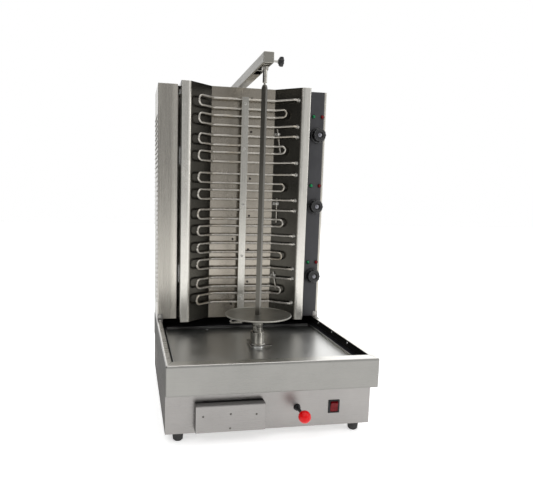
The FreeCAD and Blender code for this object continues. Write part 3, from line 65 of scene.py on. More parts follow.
# ---- node tools -----------------------------------------------------------------------
class Surface:
    """A material under construction: its node tree and its Principled shader."""

    def __init__(self, name, color, metallic, roughness):
        self.material = bpy.data.materials.new(name)
        self.material.use_nodes = True
        self.tree = self.material.node_tree
        self.shader = self.tree.nodes["Principled BSDF"]
        self.set("Base Color", (*color, 1.0))
        self.set("Metallic", metallic)
        self.set("Roughness", roughness)
        self.coords = self.node("ShaderNodeTexCoord").outputs["Object"]
        self.geometry = self.node("ShaderNodeNewGeometry")

    def node(self, kind, **settings):
        made = self.tree.nodes.new(kind)
        for key, value in settings.items():
            setattr(made, key, value)
        return made

    def link(self, source, target):
        self.tree.links.new(source, target)

    def set(self, socket, value):
        self.shader.inputs[socket].default_value = value

    def feed(self, socket, source):
        self.link(source, self.shader.inputs[socket])

    def math(self, operation, *values, clamp=False):
        made = self.node("ShaderNodeMath", operation=operation, use_clamp=clamp)
        for index, value in enumerate(values):
            if isinstance(value, (int, float)):
                made.inputs[index].default_value = value
            else:
                self.link(value, made.inputs[index])
        return made.outputs[0]

    def noise(self, scale, stretch=(1, 1, 1), detail=2.0, rough=0.5, coords=None):
        """Noise in metres: scale is in cycles per metre, stretch multiplies it along each axis."""
        mapping = self.node("ShaderNodeMapping")
        mapping.inputs["Scale"].default_value = stretch
        self.link(coords or self.coords, mapping.inputs["Vector"])
        made = self.node("ShaderNodeTexNoise")
        made.inputs["Scale"].default_value = scale
        made.inputs["Detail"].default_value = detail
        made.inputs["Roughness"].default_value = rough
        self.link(mapping.outputs["Vector"], made.inputs["Vector"])
        return made.outputs["Fac"]

    def remap(self, source, low, high, to_low, to_high):
        made = self.node("ShaderNodeMapRange")
        for name, value in zip(("From Min", "From Max", "To Min", "To Max"), (low, high, to_low, to_high)):
            made.inputs[name].default_value = value
        self.link(source, made.inputs["Value"])
        return made.outputs["Result"]

    def blend_colors(self, factor, first, second):
        made = self.node("ShaderNodeMix", data_type="RGBA")
        self.link(factor, made.inputs["Factor"])
        for socket, value in ((made.inputs[6], first), (made.inputs[7], second)):
            if isinstance(value, tuple):
                socket.default_value = (*value, 1.0)
            else:
                self.link(value, socket)
        return made.outputs[2]

    def blend_values(self, factor, first, second):
        made = self.node("ShaderNodeMix", data_type="FLOAT")
        self.link(factor, made.inputs["Factor"])
        self.link(first, made.inputs[2])
        self.link(second, made.inputs[3])
        return made.outputs[0]

    def component(self, vector, axis):
        split = self.node("ShaderNodeSeparateXYZ")
        self.link(vector, split.inputs[0])
        return split.outputs[axis]

    def position(self, axis):
        """Place along an axis, in metres."""
        return self.component(self.coords, axis)

    def offset(self, axis):
        """Distance from the origin along an axis, in metres, whichever side."""
        return self.math("ABSOLUTE", self.position(axis))

    def facing(self, axis, low, high, amount=1.0):
        """Grows from 0 to amount as the surface turns to face along an axis, either way."""
        part = self.math("ABSOLUTE", self.component(self.geometry.outputs["Normal"], axis))
        return self.remap(part, low, high, 0.0, amount)

    def edges(self, radius):
        """1 on worn or rounded edges, 0 on flats."""
        bevel = self.node("ShaderNodeBevel", samples=4)
        bevel.inputs["Radius"].default_value = radius
        dot = self.node("ShaderNodeVectorMath", operation="DOT_PRODUCT")
        self.link(bevel.outputs["Normal"], dot.inputs[0])
        self.link(self.geometry.outputs["Normal"], dot.inputs[1])
        return self.remap(dot.outputs["Value"], 0.998, 0.93, 0.0, 1.0)

    def bump(self, height, strength, distance, soft_edges=0.0):
        """Bump from a height, over corners softened by soft_edges metres."""
        made = self.node("ShaderNodeBump")
        made.inputs["Strength"].default_value = strength
        made.inputs["Distance"].default_value = distance
        self.link(height, made.inputs["Height"])
        if soft_edges:
            bevel = self.node("ShaderNodeBevel", samples=4)
            bevel.inputs["Radius"].default_value = soft_edges
            self.link(bevel.outputs["Normal"], made.inputs["Normal"])
        self.feed("Normal", made.outputs["Normal"])


def scaled(color, factor):
    return tuple(min(1.0, channel * factor) for channel in color)


# ---- materials ------------------------------------------------------------------------
BRUSH_PITCH = 900.0                 # cycles per metre across the brush lines
BRUSH_LENGTH = 7.0                  # and along them
SIDEWAYS = (0.75, 0.95)             # how far a face looks sideways before it counts, and counts fully
UPWARDS = (0.80, 0.95)              # the same for a face that looks up
AS_ROLLED_METALLIC = 0.12           # metallic share of a face left as rolled
AS_ROLLED_SHADE_TONE = 0.45               # its tone against the polished sheet, darker as painted shade on sideways faces
# near-black painted shade for the insides of hollows
HOLLOW_SHADE = (0.035, 0.034, 0.032)


def brush_lines(s, grain):
    """Lines along the length of each face, or upright ones throughout for a vertical grain."""
    if grain == "vertical":
        return s.noise(1.0, (BRUSH_PITCH, BRUSH_PITCH, BRUSH_LENGTH), detail=3.0, rough=0.65)
    upright = s.noise(1.0, (BRUSH_LENGTH, BRUSH_LENGTH, BRUSH_PITCH), detail=3.0, rough=0.65)
    level = s.noise(1.0, (BRUSH_LENGTH, BRUSH_PITCH, BRUSH_LENGTH), detail=3.0, rough=0.65)
    return s.blend_values(s.facing(2, 0.6, 0.8), upright, level)


def within(s, hollow):
    """1 inside a hollow given as (half width, front y, top z), 0 outside it."""
    half_width, front_y, top_z = hollow
    between = s.math("LESS_THAN", s.offset(0), half_width)
    behind = s.math("GREATER_THAN", s.position(1), front_y)
    below = s.math("LESS_THAN", s.position(2), top_z)
    return s.math("MULTIPLY", s.math("MULTIPLY", between, behind), below)


def brushed_sheet(name, color, roughness, grain="horizontal", smudge=0.10, sheen=0.3, edge_radius=0.0007,
                  side_dulling_and_shade=0.0, top_dulling=0.0, top_highlight=1.0, painted_sheen_x=None, hollow=None):
    """Stainless sheet with brush lines, handling marks and brighter edges.

    smudge is how much the handling marks dull it, sheen how much its tone drifts with the brush lines and in
    broad bands; the broad bands are painted sheen.
    side_dulling_and_shade and top_dulling take the polish off the faces that look sideways and up; the
    sideways faces are also painted darker, as painted shade.
    top_highlight brightens the faces that look up, a painted highlight from the light above.
    painted_sheen_x is (x of the darker edge, x of the brighter edge): painted shade at the one and a painted
    highlight at the other, as a slightly bowed sheet would reflect.
    hollow is a place whose faces are painted nearly black as painted shade, as within() takes it.
    """
    s = Surface(name, color, 1.0, roughness)
    lines = brush_lines(s, grain)
    if grain == "vertical":
        clouds = s.noise(1.0, (9.0, 9.0, 1.2), detail=1.0, rough=0.5)
    else:
        clouds = s.noise(5.0, detail=4.0, rough=0.6)
    marks = s.noise(38.0, (1.0, 1.0, 0.35), detail=5.0, rough=0.7)
    rough = s.math("ADD", s.remap(lines, 0.3, 0.7, roughness - 0.06, roughness + 0.08),
                   s.remap(clouds, 0.35, 0.7, 0.0, smudge))
    s.feed("Roughness", s.math("ADD", rough, s.remap(marks, 0.55, 0.8, 0.0, smudge)))

    # the broad cloud bands in the tint are painted sheen
    tint = s.math("ADD", s.remap(lines, 0.25, 0.75, 0.0, 0.35), s.remap(clouds, 0.3, 0.75, 0.0, 0.65))
    body = s.blend_colors(tint, scaled(color, 1.0 - sheen * 0.7), scaled(color, 1.0 + sheen * 0.5))
    # sideways faces take a darker tone: painted shade
    on_side = s.facing(0, *SIDEWAYS, side_dulling_and_shade)
    rolled_and_shaded = scaled(color, AS_ROLLED_SHADE_TONE)
    body = s.blend_colors(on_side, body, rolled_and_shaded)
    # up-facing faces brightened: painted highlight from the light above
    if top_highlight != 1.0:
        body = s.blend_colors(s.facing(2, *UPWARDS), body, scaled(color, top_highlight))
    # darker outer edge and brighter inner edge: painted shade and painted highlight
    if painted_sheen_x:
        lit = s.remap(s.offset(0), *painted_sheen_x, 0.0, 1.0)
        body = s.blend_colors(lit, s.blend_colors(on_side, scaled(color, 0.82), rolled_and_shaded), body)
        body = s.blend_colors(s.remap(lit, 0.55, 0.85, 0.0, 0.6), body, scaled(color, 1.5))
    if side_dulling_and_shade:
        dull = s.math("MAXIMUM", on_side, s.facing(2, *UPWARDS, top_dulling)) if top_dulling else on_side
        s.feed("Metallic", s.remap(dull, 0.0, 1.0, 1.0, AS_ROLLED_METALLIC))
        s.feed("Specular IOR Level", s.remap(dull, 0.0, 1.0, 0.5, 0.0))
    worn_edge = s.math("MULTIPLY", s.edges(0.0012), 0.35)
    body = s.blend_colors(worn_edge, body, scaled(color, 1.6))
    # the hollow's faces are painted nearly black: painted shade
    if hollow:
        body = s.blend_colors(within(s, hollow), body, HOLLOW_SHADE)
    s.feed("Base Color", body)
    s.bump(lines, 0.10, 0.00015, soft_edges=edge_radius)
    return s.material


def bright_sheet(name, color, roughness, soot_and_shadow, edge_radius):
    """Bright annealed sheet: smooth, barely wavy, with faint lines.

    soot_and_shadow is (y where it starts, y where it is full): the sheet is painted black towards that end,
    as painted shadow under the housing.
    """
    s = Surface(name, color, 1.0, roughness)
    waves = s.noise(9.0, (1.0, 1.0, 0.5), detail=1.0)
    lines = s.noise(1.0, (12.0, 12.0, 700.0), detail=2.0)
    haze = s.noise(24.0, detail=5.0, rough=0.7)
    s.feed("Roughness", s.math("ADD", s.remap(haze, 0.35, 0.75, roughness, roughness + 0.01),
                               s.remap(lines, 0.35, 0.65, -0.02, 0.03)))
    # painted shadow: the pan is painted black towards the housing that shades it
    shadowed = s.remap(s.position(1), *soot_and_shadow, 0.0, 1.0)
    s.feed("Base Color", s.blend_colors(shadowed, color, scaled(color, 0.12)))
    s.bump(s.math("ADD", waves, s.math("MULTIPLY", lines, 0.02)), 0.008, 0.004, soft_edges=edge_radius)
    return s.material


def reflector_sheet(name, back, wing, flange, edge_x):
    """Reflector: plain back, wings much darker than the back, brighter brushed flanges."""
    s = Surface(name, back, 1.0, 0.25)
    lines = s.noise(1.0, (500.0, 500.0, 9.0), detail=3.0)
    haze = s.noise(18.0, detail=5.0, rough=0.7)
    soot_and_shadow = s.noise(11.0, (1.0, 1.0, 0.5), detail=4.0, rough=0.65)
    on_wing = s.facing(0, 0.30, 0.58)
    on_flange = s.remap(s.offset(0), edge_x - 0.006, edge_x + 0.002, 0.0, 1.0)
    plain = s.blend_colors(s.remap(soot_and_shadow, 0.3, 0.8, 0.0, 1.0), back, scaled(back, 0.84))
    darkened_wing = s.blend_colors(s.remap(soot_and_shadow, 0.35, 0.75, 0.0, 1.0), wing, scaled(wing, 0.6))
    clean = s.blend_colors(s.remap(lines, 0.3, 0.7, 0.0, 1.0), scaled(flange, 0.94), flange)
    body = s.blend_colors(on_wing, s.blend_colors(on_flange, plain, clean), darkened_wing)
    s.feed("Base Color", body)
    s.feed("Roughness", s.math("ADD", s.remap(haze, 0.3, 0.75, 0.20, 0.28),
                               s.remap(lines, 0.35, 0.65, -0.01, 0.02)))
    s.bump(s.math("ADD", haze, s.math("MULTIPLY", lines, 0.03)), 0.04, 0.0006, soft_edges=0.0005)
    return s.material


RING_PITCH = 1400.0                 # cycles per metre along a turned piece


def turned_metal(name, color, roughness, axis=2):
    """Lathe-turned steel: fine rings round an axis."""
    s = Surface(name, color, 1.0, roughness)
    stretch = [3.0, 3.0, 3.0]
    stretch[axis] = RING_PITCH
    rings = s.noise(1.0, tuple(stretch), detail=1.0)
    spots = s.noise(160.0, detail=3.0)
    s.feed("Roughness", s.math("ADD", s.remap(rings, 0.3, 0.7, roughness - 0.05, roughness + 0.07),
                               s.remap(spots, 0.55, 0.8, 0.0, 0.12)))
    s.feed("Base Color", s.blend_colors(s.remap(spots, 0.5, 0.8, 0.0, 1.0), color, scaled(color, 0.8)))
    s.bump(rings, 0.12, 0.0001, soft_edges=0.0006)
    return s.material


def disc_metal(name, color, roughness, centre):
    """Spun disc: rings round a vertical centre line."""
    s = Surface(name, color, 1.0, roughness)
    dx = s.math("SUBTRACT", s.position(0), centre.x)
    dy = s.math("SUBTRACT", s.position(1), centre.y)
    reach = s.math("SQRT", s.math("ADD", s.math("MULTIPLY", dx, dx), s.math("MULTIPLY", dy, dy)))
    join = s.node("ShaderNodeCombineXYZ")
    s.link(reach, join.inputs[0])
    rings = s.noise(1.0, (1100.0, 1.0, 1.0), detail=3.0, coords=join.outputs[0])
    clouds = s.noise(14.0, detail=4.0)
    s.feed("Roughness", s.math("ADD", s.remap(rings, 0.3, 0.7, roughness - 0.05, roughness + 0.07),
                               s.remap(clouds, 0.4, 0.75, 0.0, 0.14)))
    edge = s.math("MULTIPLY", s.edges(0.0012), 0.5)
    body = s.blend_colors(s.remap(clouds, 0.3, 0.75, 0.0, 1.0), color, scaled(color, 0.82))
    s.feed("Base Color", s.blend_colors(edge, body, scaled(color, 1.3)))
    s.bump(rings, 0.12, 0.00015, soft_edges=0.0006)
    return s.material


def cast_metal(name, color, roughness, behind=None):
    """Cast or plated metal. behind is (y, colour): another colour for what lies behind that y."""
    s = Surface(name, color, 1.0, roughness)
    grain = s.noise(900.0, detail=3.0)
    clouds = s.noise(30.0, detail=3.0)
    s.feed("Roughness", s.remap(clouds, 0.3, 0.7, roughness - 0.06, roughness + 0.1))
    body = s.blend_colors(clouds, scaled(color, 0.85), scaled(color, 1.08))
    if behind:
        limit_y, rear_color = behind
        body = s.blend_colors(s.math("GREATER_THAN", s.position(1), limit_y), body, rear_color)
    s.feed("Base Color", body)
    s.bump(grain, 0.25, 0.0002, soft_edges=0.0008)
    return s.material


def heater_sheath(name, color):
    """Tubular element: satin alloy sheath, drawn along its length, with heat colours in patches."""
    s = Surface(name, color, 1.0, 0.26)
    patches = s.noise(16.0, detail=3.0)
    scale_marks = s.noise(420.0, detail=3.0)
    warm = (color[0] * 0.80, color[1] * 0.72, color[2] * 0.60)
    body = s.blend_colors(s.remap(patches, 0.5, 0.78, 0.0, 0.75), color, warm)
    s.feed("Base Color", s.blend_colors(s.remap(scale_marks, 0.6, 0.8, 0.0, 0.5), body, scaled(color, 0.6)))
    s.feed("Roughness", s.math("ADD", s.remap(scale_marks, 0.4, 0.75, 0.2, 0.36),
                               s.remap(patches, 0.5, 0.8, 0.0, 0.08)))
    s.bump(scale_marks, 0.08, 0.0001)
    return s.material


def painted(name, color, roughness, peel=0.15):
    """Baked enamel: fine orange peel, dust and scuffs, thin on the edges."""
    s = Surface(name, color, 0.0, roughness)
    skin = s.noise(700.0, detail=2.0)
    dust = s.noise(26.0, (1.0, 1.0, 0.5), detail=5.0, rough=0.7)
    s.feed("Roughness", s.remap(dust, 0.35, 0.75, roughness - 0.05, roughness + 0.15))
    body = s.blend_colors(s.remap(dust, 0.4, 0.8, 0.0, 0.6), color, tuple(c * 1.7 + 0.01 for c in color))
    s.feed("Base Color", s.blend_colors(s.math("MULTIPLY", s.edges(0.0008), 0.35), body, (0.25, 0.25, 0.25)))
    s.set("Coat Weight", 0.15)
    s.set("Coat Roughness", 0.3)
    s.bump(skin, peel, 0.0002, soft_edges=0.0006)
    return s.material


def moulded(name, color, roughness, grain=0.2, coat=0.0, gloss=0.5):
    """Moulded plastic: fine spark texture, faint rub marks."""
    s = Surface(name, color, 0.0, roughness)
    texture = s.noise(1500.0, detail=2.0)
    rub = s.noise(60.0, detail=4.0, rough=0.7)
    s.feed("Roughness", s.remap(rub, 0.35, 0.75, roughness - 0.06, roughness + 0.12))
    worn = tuple(channel * 1.25 + 0.002 for channel in color)
    s.feed("Base Color", s.blend_colors(s.remap(rub, 0.5, 0.8, 0.0, 0.5), color, worn))
    s.set("Specular IOR Level", gloss)
    s.set("Coat Weight", coat)
    s.set("Coat Roughness", 0.06)
    s.bump(texture, grain, 0.00012, soft_edges=0.0004)
    return s.material


def lens(name, color):
    """Tinted translucent plastic, clouded by the dark cavity behind it."""
    s = Surface(name, color, 0.0, 0.18)
    cloud = s.remap(s.noise(70.0, detail=2.0), 0.35, 0.7, 0.0, 0.4)
    s.feed("Base Color", s.blend_colors(cloud, color, scaled(color, 0.35)))
    ribs = s.noise(1.0, (1200.0, 1200.0, 20.0), detail=0.0)
    s.feed("Roughness", s.remap(ribs, 0.3, 0.7, 0.12, 0.26))
    s.set("Coat Weight", 0.1)
    s.set("Coat Roughness", 0.05)
    s.set("Specular IOR Level", 0.15)
    s.set("Subsurface Weight", 0.08)
    s.set("Subsurface Radius", (0.004, 0.001, 0.001))
    s.bump(ribs, 0.08, 0.0001, soft_edges=0.0005)
    return s.material


def rubber(name, color):
    """Matt rubber, dusty."""
    s = Surface(name, color, 0.0, 0.75)
    skin = s.noise(1100.0, detail=3.0)
    dust = s.noise(90.0, detail=4.0)
    s.feed("Base Color", s.blend_colors(s.remap(dust, 0.45, 0.8, 0.0, 0.7), color, (0.07, 0.068, 0.064)))
    s.feed("Roughness", s.remap(dust, 0.3, 0.7, 0.62, 0.85))
    s.bump(skin, 0.3, 0.0002, soft_edges=0.0006)
    return s.material


def ceramic(name, color):
    """Unglazed ceramic with fine specks."""
    s = Surface(name, color, 0.0, 0.5)
    specks = s.noise(500.0, detail=3.0)
    s.feed("Base Color", s.blend_colors(s.remap(specks, 0.6, 0.8, 0.0, 0.6), color, scaled(color, 0.75)))
    s.feed("Roughness", s.remap(specks, 0.3, 0.7, 0.4, 0.6))
    s.bump(specks, 0.1, 0.0001, soft_edges=0.0006)
    return s.material


def floor_paper(name):
    """White paper sweep, lit a little from within so that it stays nearly white."""
    s = Surface(name, (0.93, 0.93, 0.92), 0.0, 0.6)
    mottle = s.noise(3.0, detail=3.0)
    s.feed("Base Color", s.blend_colors(mottle, (0.90, 0.90, 0.895), (0.94, 0.94, 0.935)))
    fibre = s.noise(600.0, detail=2.0)
    s.feed("Roughness", s.remap(fibre, 0.3, 0.7, 0.55, 0.7))
    s.bump(fibre, 0.05, 0.0002)
    s.set("Emission Color", (1.0, 1.0, 1.0, 1.0))
    s.set("Emission Strength", 0.52)
    return s.material


STEEL = (0.315, 0.303, 0.293)
TRAY_STEEL = (0.285, 0.280, 0.265)
WARM_STEEL = (0.52, 0.495, 0.445)

TRAY_LOW, TRAY_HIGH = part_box("tray_surround")
SHEET = 0.0015
SKIN = 0.0002               # how far the hollow's painted shade reaches into the sheet, to take in its face
TRAY_HOLLOW = (TRAY_HIGH.x - SHEET + SKIN, TRAY_LOW.y + SHEET - SKIN, TRAY_HIGH.z - SHEET + SKIN)
FLANGE_EDGE_X = 0.171       # where the reflector's wings turn into its flanges
PAN_SHADOW_Y = (0.06, 0.13)   # where the pan's painted shadow starts towards the housing, and where it is black
PILLAR_SHEEN_X = (0.246, 0.206)   # the left pillar's outer edge with painted shade and inner edge with painted highlight
STRIP_BACK_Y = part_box("clamp_strip")[1].y - 0.002   # screws behind this are in the back, not the strip

HOUSING_LOOK = {"grain": "vertical", "smudge": 0.06, "side_dulling_and_shade": 0.6, "sheen": 0.4}

MATERIALS = {
    "casing": brushed_sheet("casing_brushed", STEEL, 0.26, side_dulling_and_shade=1.0),
    "drawer": brushed_sheet("drawer_brushed", STEEL, 0.26, side_dulling_and_shade=1.0, top_dulling=0.9),
    "arm": brushed_sheet("arm_brushed", (0.30, 0.29, 0.26), 0.26, side_dulling_and_shade=0.45),
    "tray": brushed_sheet("tray_brushed", TRAY_STEEL, 0.25, hollow=TRAY_HOLLOW, side_dulling_and_shade=1.0,
                          edge_radius=0.004, top_highlight=2.7),
    "housing": brushed_sheet("housing_brushed", WARM_STEEL, 0.24, **HOUSING_LOOK),
    "pillar": brushed_sheet("pillar_brushed", WARM_STEEL, 0.24, painted_sheen_x=PILLAR_SHEEN_X, **HOUSING_LOOK),
    "strip": brushed_sheet("strip_brushed", (0.56, 0.545, 0.50), 0.16, grain="vertical", smudge=0.05),
    "reflector": reflector_sheet("reflector_sheet", (0.41, 0.375, 0.32), (0.070, 0.066, 0.056),
                                 (0.70, 0.68, 0.63), FLANGE_EDGE_X),
    "pan": bright_sheet("pan_bright", (0.74, 0.74, 0.72), 0.33, soot_and_shadow=PAN_SHADOW_Y, edge_radius=0.003),
    "disc": disc_metal("disc_spun", (0.36, 0.35, 0.315), 0.32, middle("spit_disc")),
    "spit": brushed_sheet("spit_drawn", (0.13, 0.124, 0.108), 0.24, grain="vertical"),
    "turned": turned_metal("turned_steel", (0.40, 0.385, 0.35), 0.16),
    "turned_y": turned_metal("turned_steel_lengthwise", (0.66, 0.65, 0.62), 0.22, axis=1),
    "zinc": cast_metal("zinc_plate", (0.52, 0.51, 0.48), 0.32),
    "gear": cast_metal("gear_steel", (0.42, 0.42, 0.41), 0.35),
    "cast": cast_metal("cast_aluminium", (0.60, 0.60, 0.61), 0.5),
    "heater": heater_sheath("heater_sheath", (0.40, 0.38, 0.345)),
    "motor": painted("motor_paint", (0.03, 0.03, 0.033), 0.4),
    "panel": painted("panel_black", (0.018, 0.018, 0.021), 0.42, peel=0.1),
    "plastic": moulded("black_moulding", (0.012, 0.012, 0.013), 0.38),
    "knob": moulded("knob_moulding", (0.010, 0.010, 0.011), 0.30, grain=0.12, coat=0.15),
    "cap": turned_metal("knob_cap", (0.20, 0.20, 0.22), 0.3, axis=1),
    "dark_screw": cast_metal("browned_screw", (0.10, 0.095, 0.085), 0.38),
    "heater_screw": cast_metal("heater_screw", (0.50, 0.49, 0.46), 0.30,
                               behind=(STRIP_BACK_Y, (0.06, 0.055, 0.05))),
    "weld": cast_metal("dressed_weld", (0.30, 0.295, 0.285), 0.45),
    "switch": moulded("switch_moulding", (0.008, 0.008, 0.009), 0.30, grain=0.08, coat=0.05, gloss=0.25),
    "ball": moulded("ball_red", (0.62, 0.001, 0.003), 0.30, grain=0.02, coat=0.10, gloss=0.22),
    "lens_red": lens("lens_red", (0.15, 0.001, 0.004)),
    "lens_green": lens("lens_green", (0.015, 0.22, 0.08)),
    "rubber": rubber("foot_rubber", (0.022, 0.022, 0.022)),
    "ceramic": ceramic("terminal_ceramic", (0.85, 0.83, 0.78)),
}

FINISHES = {
    "casing": ["base_casing", "bottom_plate", "drawer_box", "slot_cover", "housing_brackets"],
    "drawer": ["drawer_front"],
    "arm": ["arm_tube", "mast_post"],
    "tray": ["tray_surround"],
    "housing": ["right_side_shell", "back_cover", "top_cover"],
    "pillar": ["left_side_shell"],
    "strip": ["clamp_strip"],
    "reflector": ["reflector"],
    "pan": ["drip_pan"],
    "disc": ["spit_disc"],
    "spit": ["spit_bar"],
    "turned": ["coupler", "output_shaft", "top_pin", "pin_carrier"],
    "turned_y": ["carriage_rails"],
    "zinc": ["casing_screws", "drawer_rails", "carriage_plate", "strip_spacers", "bulb_clips",
             "thermostat_bodies", "heater_bushings"],
    "dark_screw": ["drawer_rivets"],
    "heater_screw": ["reflector_screws"],
    "gear": ["drive_wheel", "pinion"],
    "cast": ["gearbox_case"],
    "heater": [f"heater_element_{i}" for i in range(1, 7)] + ["sensor_bulbs"],
    "motor": ["motor_can"],
    # deck_plate takes the black paint as painted shade in the channel beside the pan
    "panel": ["control_panel", "deck_plate", "housing_floor"],
    "plastic": ["lever_bush", "lever_rod", "cable_gland", "clamp_knob",
                "thermostat_knob_1", "thermostat_knob_2", "thermostat_knob_3"],
    "switch": ["rocker_switch"],
    "ball": ["lever_ball"],
    "lens_red": ["rocker_button", "pilot_lamps_red"],
    "lens_green": ["pilot_lamps_green"],
    "rubber": ["rubber_feet"],
    "ceramic": ["terminal_block"],
}


def finish_cad_nodes():
    """Gives every carried-over CAD node its procedural material."""
    for key, names in FINISHES.items():
        for name in names:
            mesh = NODES[name].data
            mesh.materials.clear()
            mesh.materials.append(MATERIALS[key])


# ---- detail pieces --------------------------------------------------------------------
SHARP_ANGLE = math.radians(32)


def finished_piece(name, work, material):
    """An object from a bmesh, smooth, with outward faces; the bmesh is used up."""
    bmesh.ops.recalc_face_normals(work, faces=work.faces)
    for face in work.faces:
        face.smooth = True
    mesh = bpy.data.meshes.new(name)
    work.to_mesh(mesh)
    work.free()
    mesh.materials.append(material)
    piece = bpy.data.objects.new(name, mesh)
    bpy.context.scene.collection.objects.link(piece)
    return piece


def turned_piece(name, profile, place, axis, material, segments=96):
    """A lathe-turned or moulded solid of revolution, with optional lobes.

    profile is a list of (radius, height along the axis, lobe count, lobe depth) from the middle of
    one end to the middle of the other, in metres.
    """
    work = bmesh.new()
    turn = Vector((0, 0, 1)).rotation_difference(Vector(axis)).to_matrix()
    rings = []
    for radius, height, lobes, depth in profile:
        if radius == 0:
            rings.append([work.verts.new(Vector(place) + turn @ Vector((0, 0, height)))])
            continue
        ring = []
        for index in range(segments):
            angle = 2 * math.pi * index / segments
            reach = radius + depth * math.cos(lobes * angle)
            spot = Vector((reach * math.cos(angle), reach * math.sin(angle), height))
            ring.append(work.verts.new(Vector(place) + turn @ spot))
        rings.append(ring)
    for below, above in zip(rings, rings[1:]):
        for index in range(segments):
            after = (index + 1) % segments
            if len(below) == 1:
                work.faces.new((below[0], above[after], above[index]))
            elif len(above) == 1:
                work.faces.new((below[index], below[after], above[0]))
            else:
                work.faces.new((below[index], below[after], above[after], above[index]))
    piece = finished_piece(name, work, material)
    piece.data.set_sharp_from_angle(angle=SHARP_ANGLE)
    return piece


def attach(piece, body):
    """Makes a piece ride on a body."""
    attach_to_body(piece, body)
    return piece


def millimetres(profile, lobes=0):
    """A profile given as (radius, height) or (radius, height, lobe depth) in millimetres."""
    return [(step[0] / 1000, step[1] / 1000, lobes, (step[2] / 1000 if len(step) > 2 else 0.0))
            for step in profile]


KNOB_MOULDING = [
    (0, -20), (2.9, -20), (2.9, -1.6), (23.0, -1.6), (24.2, -1.2), (24.5, -0.6), (24.5, 3.4), (24.1, 4.2),
    (23.3, 4.6), (22.0, 4.7), (21.4, 5.2, 0.4), (21.0, 6.0, 0.8), (20.3, 14.0, 0.9), (19.8, 18.2, 0.8),
    (19.2, 19.6, 0.5), (18.2, 20.3, 0.2), (17.2, 20.6), (16.0, 20.5), (15.3, 19.8), (14.4, 19.6),
    (13.9, 20.2), (12.9, 20.5), (11.2, 20.3), (10.0, 19.2), (9.0, 16.8), (0, 16.8)]
KNOB_CAP = [(0, 16.6), (6.4, 16.6), (6.5, 17.8), (6.1, 18.6), (5.2, 19.1), (2.8, 19.5), (0, 19.6)]
KNOB_SKIRT_HEIGHT = 0.0016  # from the profile's zero back to the skirt's rear face
KNOB_GAP = 0.0011           # between the panel and that face
KNOB_LOBES = 12


def add_knobs():
    """Control knobs with a lobed grip, a skirt and a metal cap."""
    panel_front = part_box("control_panel")[0].y
    for index, which in enumerate(("top", "middle", "bottom")):
        node = f"thermostat_knob_{index + 1}"
        body = f"knob_{which}"
        hinge = joint_place(f"knob_{which}_turn")
        place = (hinge.x, panel_front - KNOB_GAP - KNOB_SKIRT_HEIGHT, hinge.z)
        knob = turned_piece(f"{body}_moulding", millimetres(KNOB_MOULDING, KNOB_LOBES), place, (0, -1, 0),
                            MATERIALS["knob"], segments=144)
        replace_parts(attach(knob, body), node)
        cap = turned_piece(f"{body}_cap", millimetres(KNOB_CAP), place, (0, -1, 0), MATERIALS["cap"])
        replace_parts(attach(cap, body), node)


BALL_BORE_RADIUS = 0.0041
BALL_BORE_END = 0.009       # how far the bore's end is from the ball's back


def add_ball():
    """Smooth lever ball: a sphere cut flat at the back, with a bore for the rod."""
    low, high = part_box("lever_ball")
    centre = Vector(((low.x + high.x) / 2, 0, (low.z + high.z) / 2))
    radius = (high.x - low.x) / 2
    centre.y = low.y + radius
    flat = (high.y - centre.y) / radius
    last = math.acos(-flat)
    steps = 40
    profile = [(0, radius, 0, 0)]
    for step in range(1, steps + 1):
        angle = last * step / steps
        profile.append((radius * math.sin(angle), radius * math.cos(angle), 0, 0))
    bore_end = BALL_BORE_END - radius
    profile += [(BALL_BORE_RADIUS, profile[-1][1], 0, 0), (BALL_BORE_RADIUS, bore_end, 0, 0),
                (0, bore_end, 0, 0)]
    ball = turned_piece("lever_ball_smooth", profile, centre, (0, -1, 0), MATERIALS["ball"])
    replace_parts(attach(ball, "drive_carriage"), "lever_ball")


STAR_MOULDING = [
    (0, 0), (5.4, 0), (6.0, 0.6), (6.2, 2.6), (7.6, 3.2, 1.0), (9.6, 3.6, 1.9), (10.4, 4.6, 2.2),
    (10.6, 6.5, 2.25), (10.6, 10.5, 2.25), (10.4, 12.4, 2.2), (9.7, 13.6, 2.0), (8.4, 14.3, 1.4),
    (6.4, 14.5, 0.6), (5.0, 14.4), (4.4, 13.9), (0, 13.8)]


STAR_LENGTH = 0.0145
STAR_LOBES = 7
THREAD_ROOT = 0.0027        # radius
THREAD_CREST = 0.0030       # radius
THREAD_PITCH = 0.0010
THREAD_IN_STAR = 0.002      # how far the stud goes into the moulding


def add_star_knob():
    """Seven-lobed clamp knob on a threaded stud."""
    low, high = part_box("clamp_knob")
    axis_y, axis_z = joint_place("clamp_turn").yz
    star_x = high.x - STAR_LENGTH
    star = turned_piece("clamp_star", millimetres(STAR_MOULDING, STAR_LOBES), (star_x, axis_y, axis_z),
                        (1, 0, 0), MATERIALS["plastic"], segments=112)
    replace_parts(attach(star, "clamp_knob_body"), "clamp_knob")
    reach = star_x - low.x + THREAD_IN_STAR
    threads = [(0, 0, 0, 0)]
    for turn in range(int(reach / THREAD_PITCH)):
        threads.append((THREAD_ROOT, turn * THREAD_PITCH, 0, 0))
        threads.append((THREAD_CREST, (turn + 0.5) * THREAD_PITCH, 0, 0))
    threads += [(THREAD_ROOT, reach, 0, 0), (0, reach, 0, 0)]
    stud = turned_piece("clamp_stud", threads, (low.x, axis_y, axis_z), (1, 0, 0), MATERIALS["zinc"],
                        segments=48)
    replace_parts(attach(stud, "clamp_knob_body"), "clamp_knob")


LAMP_BEZEL = [(5.3, 0.1), (6.9, 0.1), (7.0, 0.5), (6.7, 1.1), (6.0, 1.4), (5.5, 1.2), (5.3, 0.6), (5.3, 0.1)]
LAMP_HEIGHTS = (0.8515, 0.638, 0.3925)


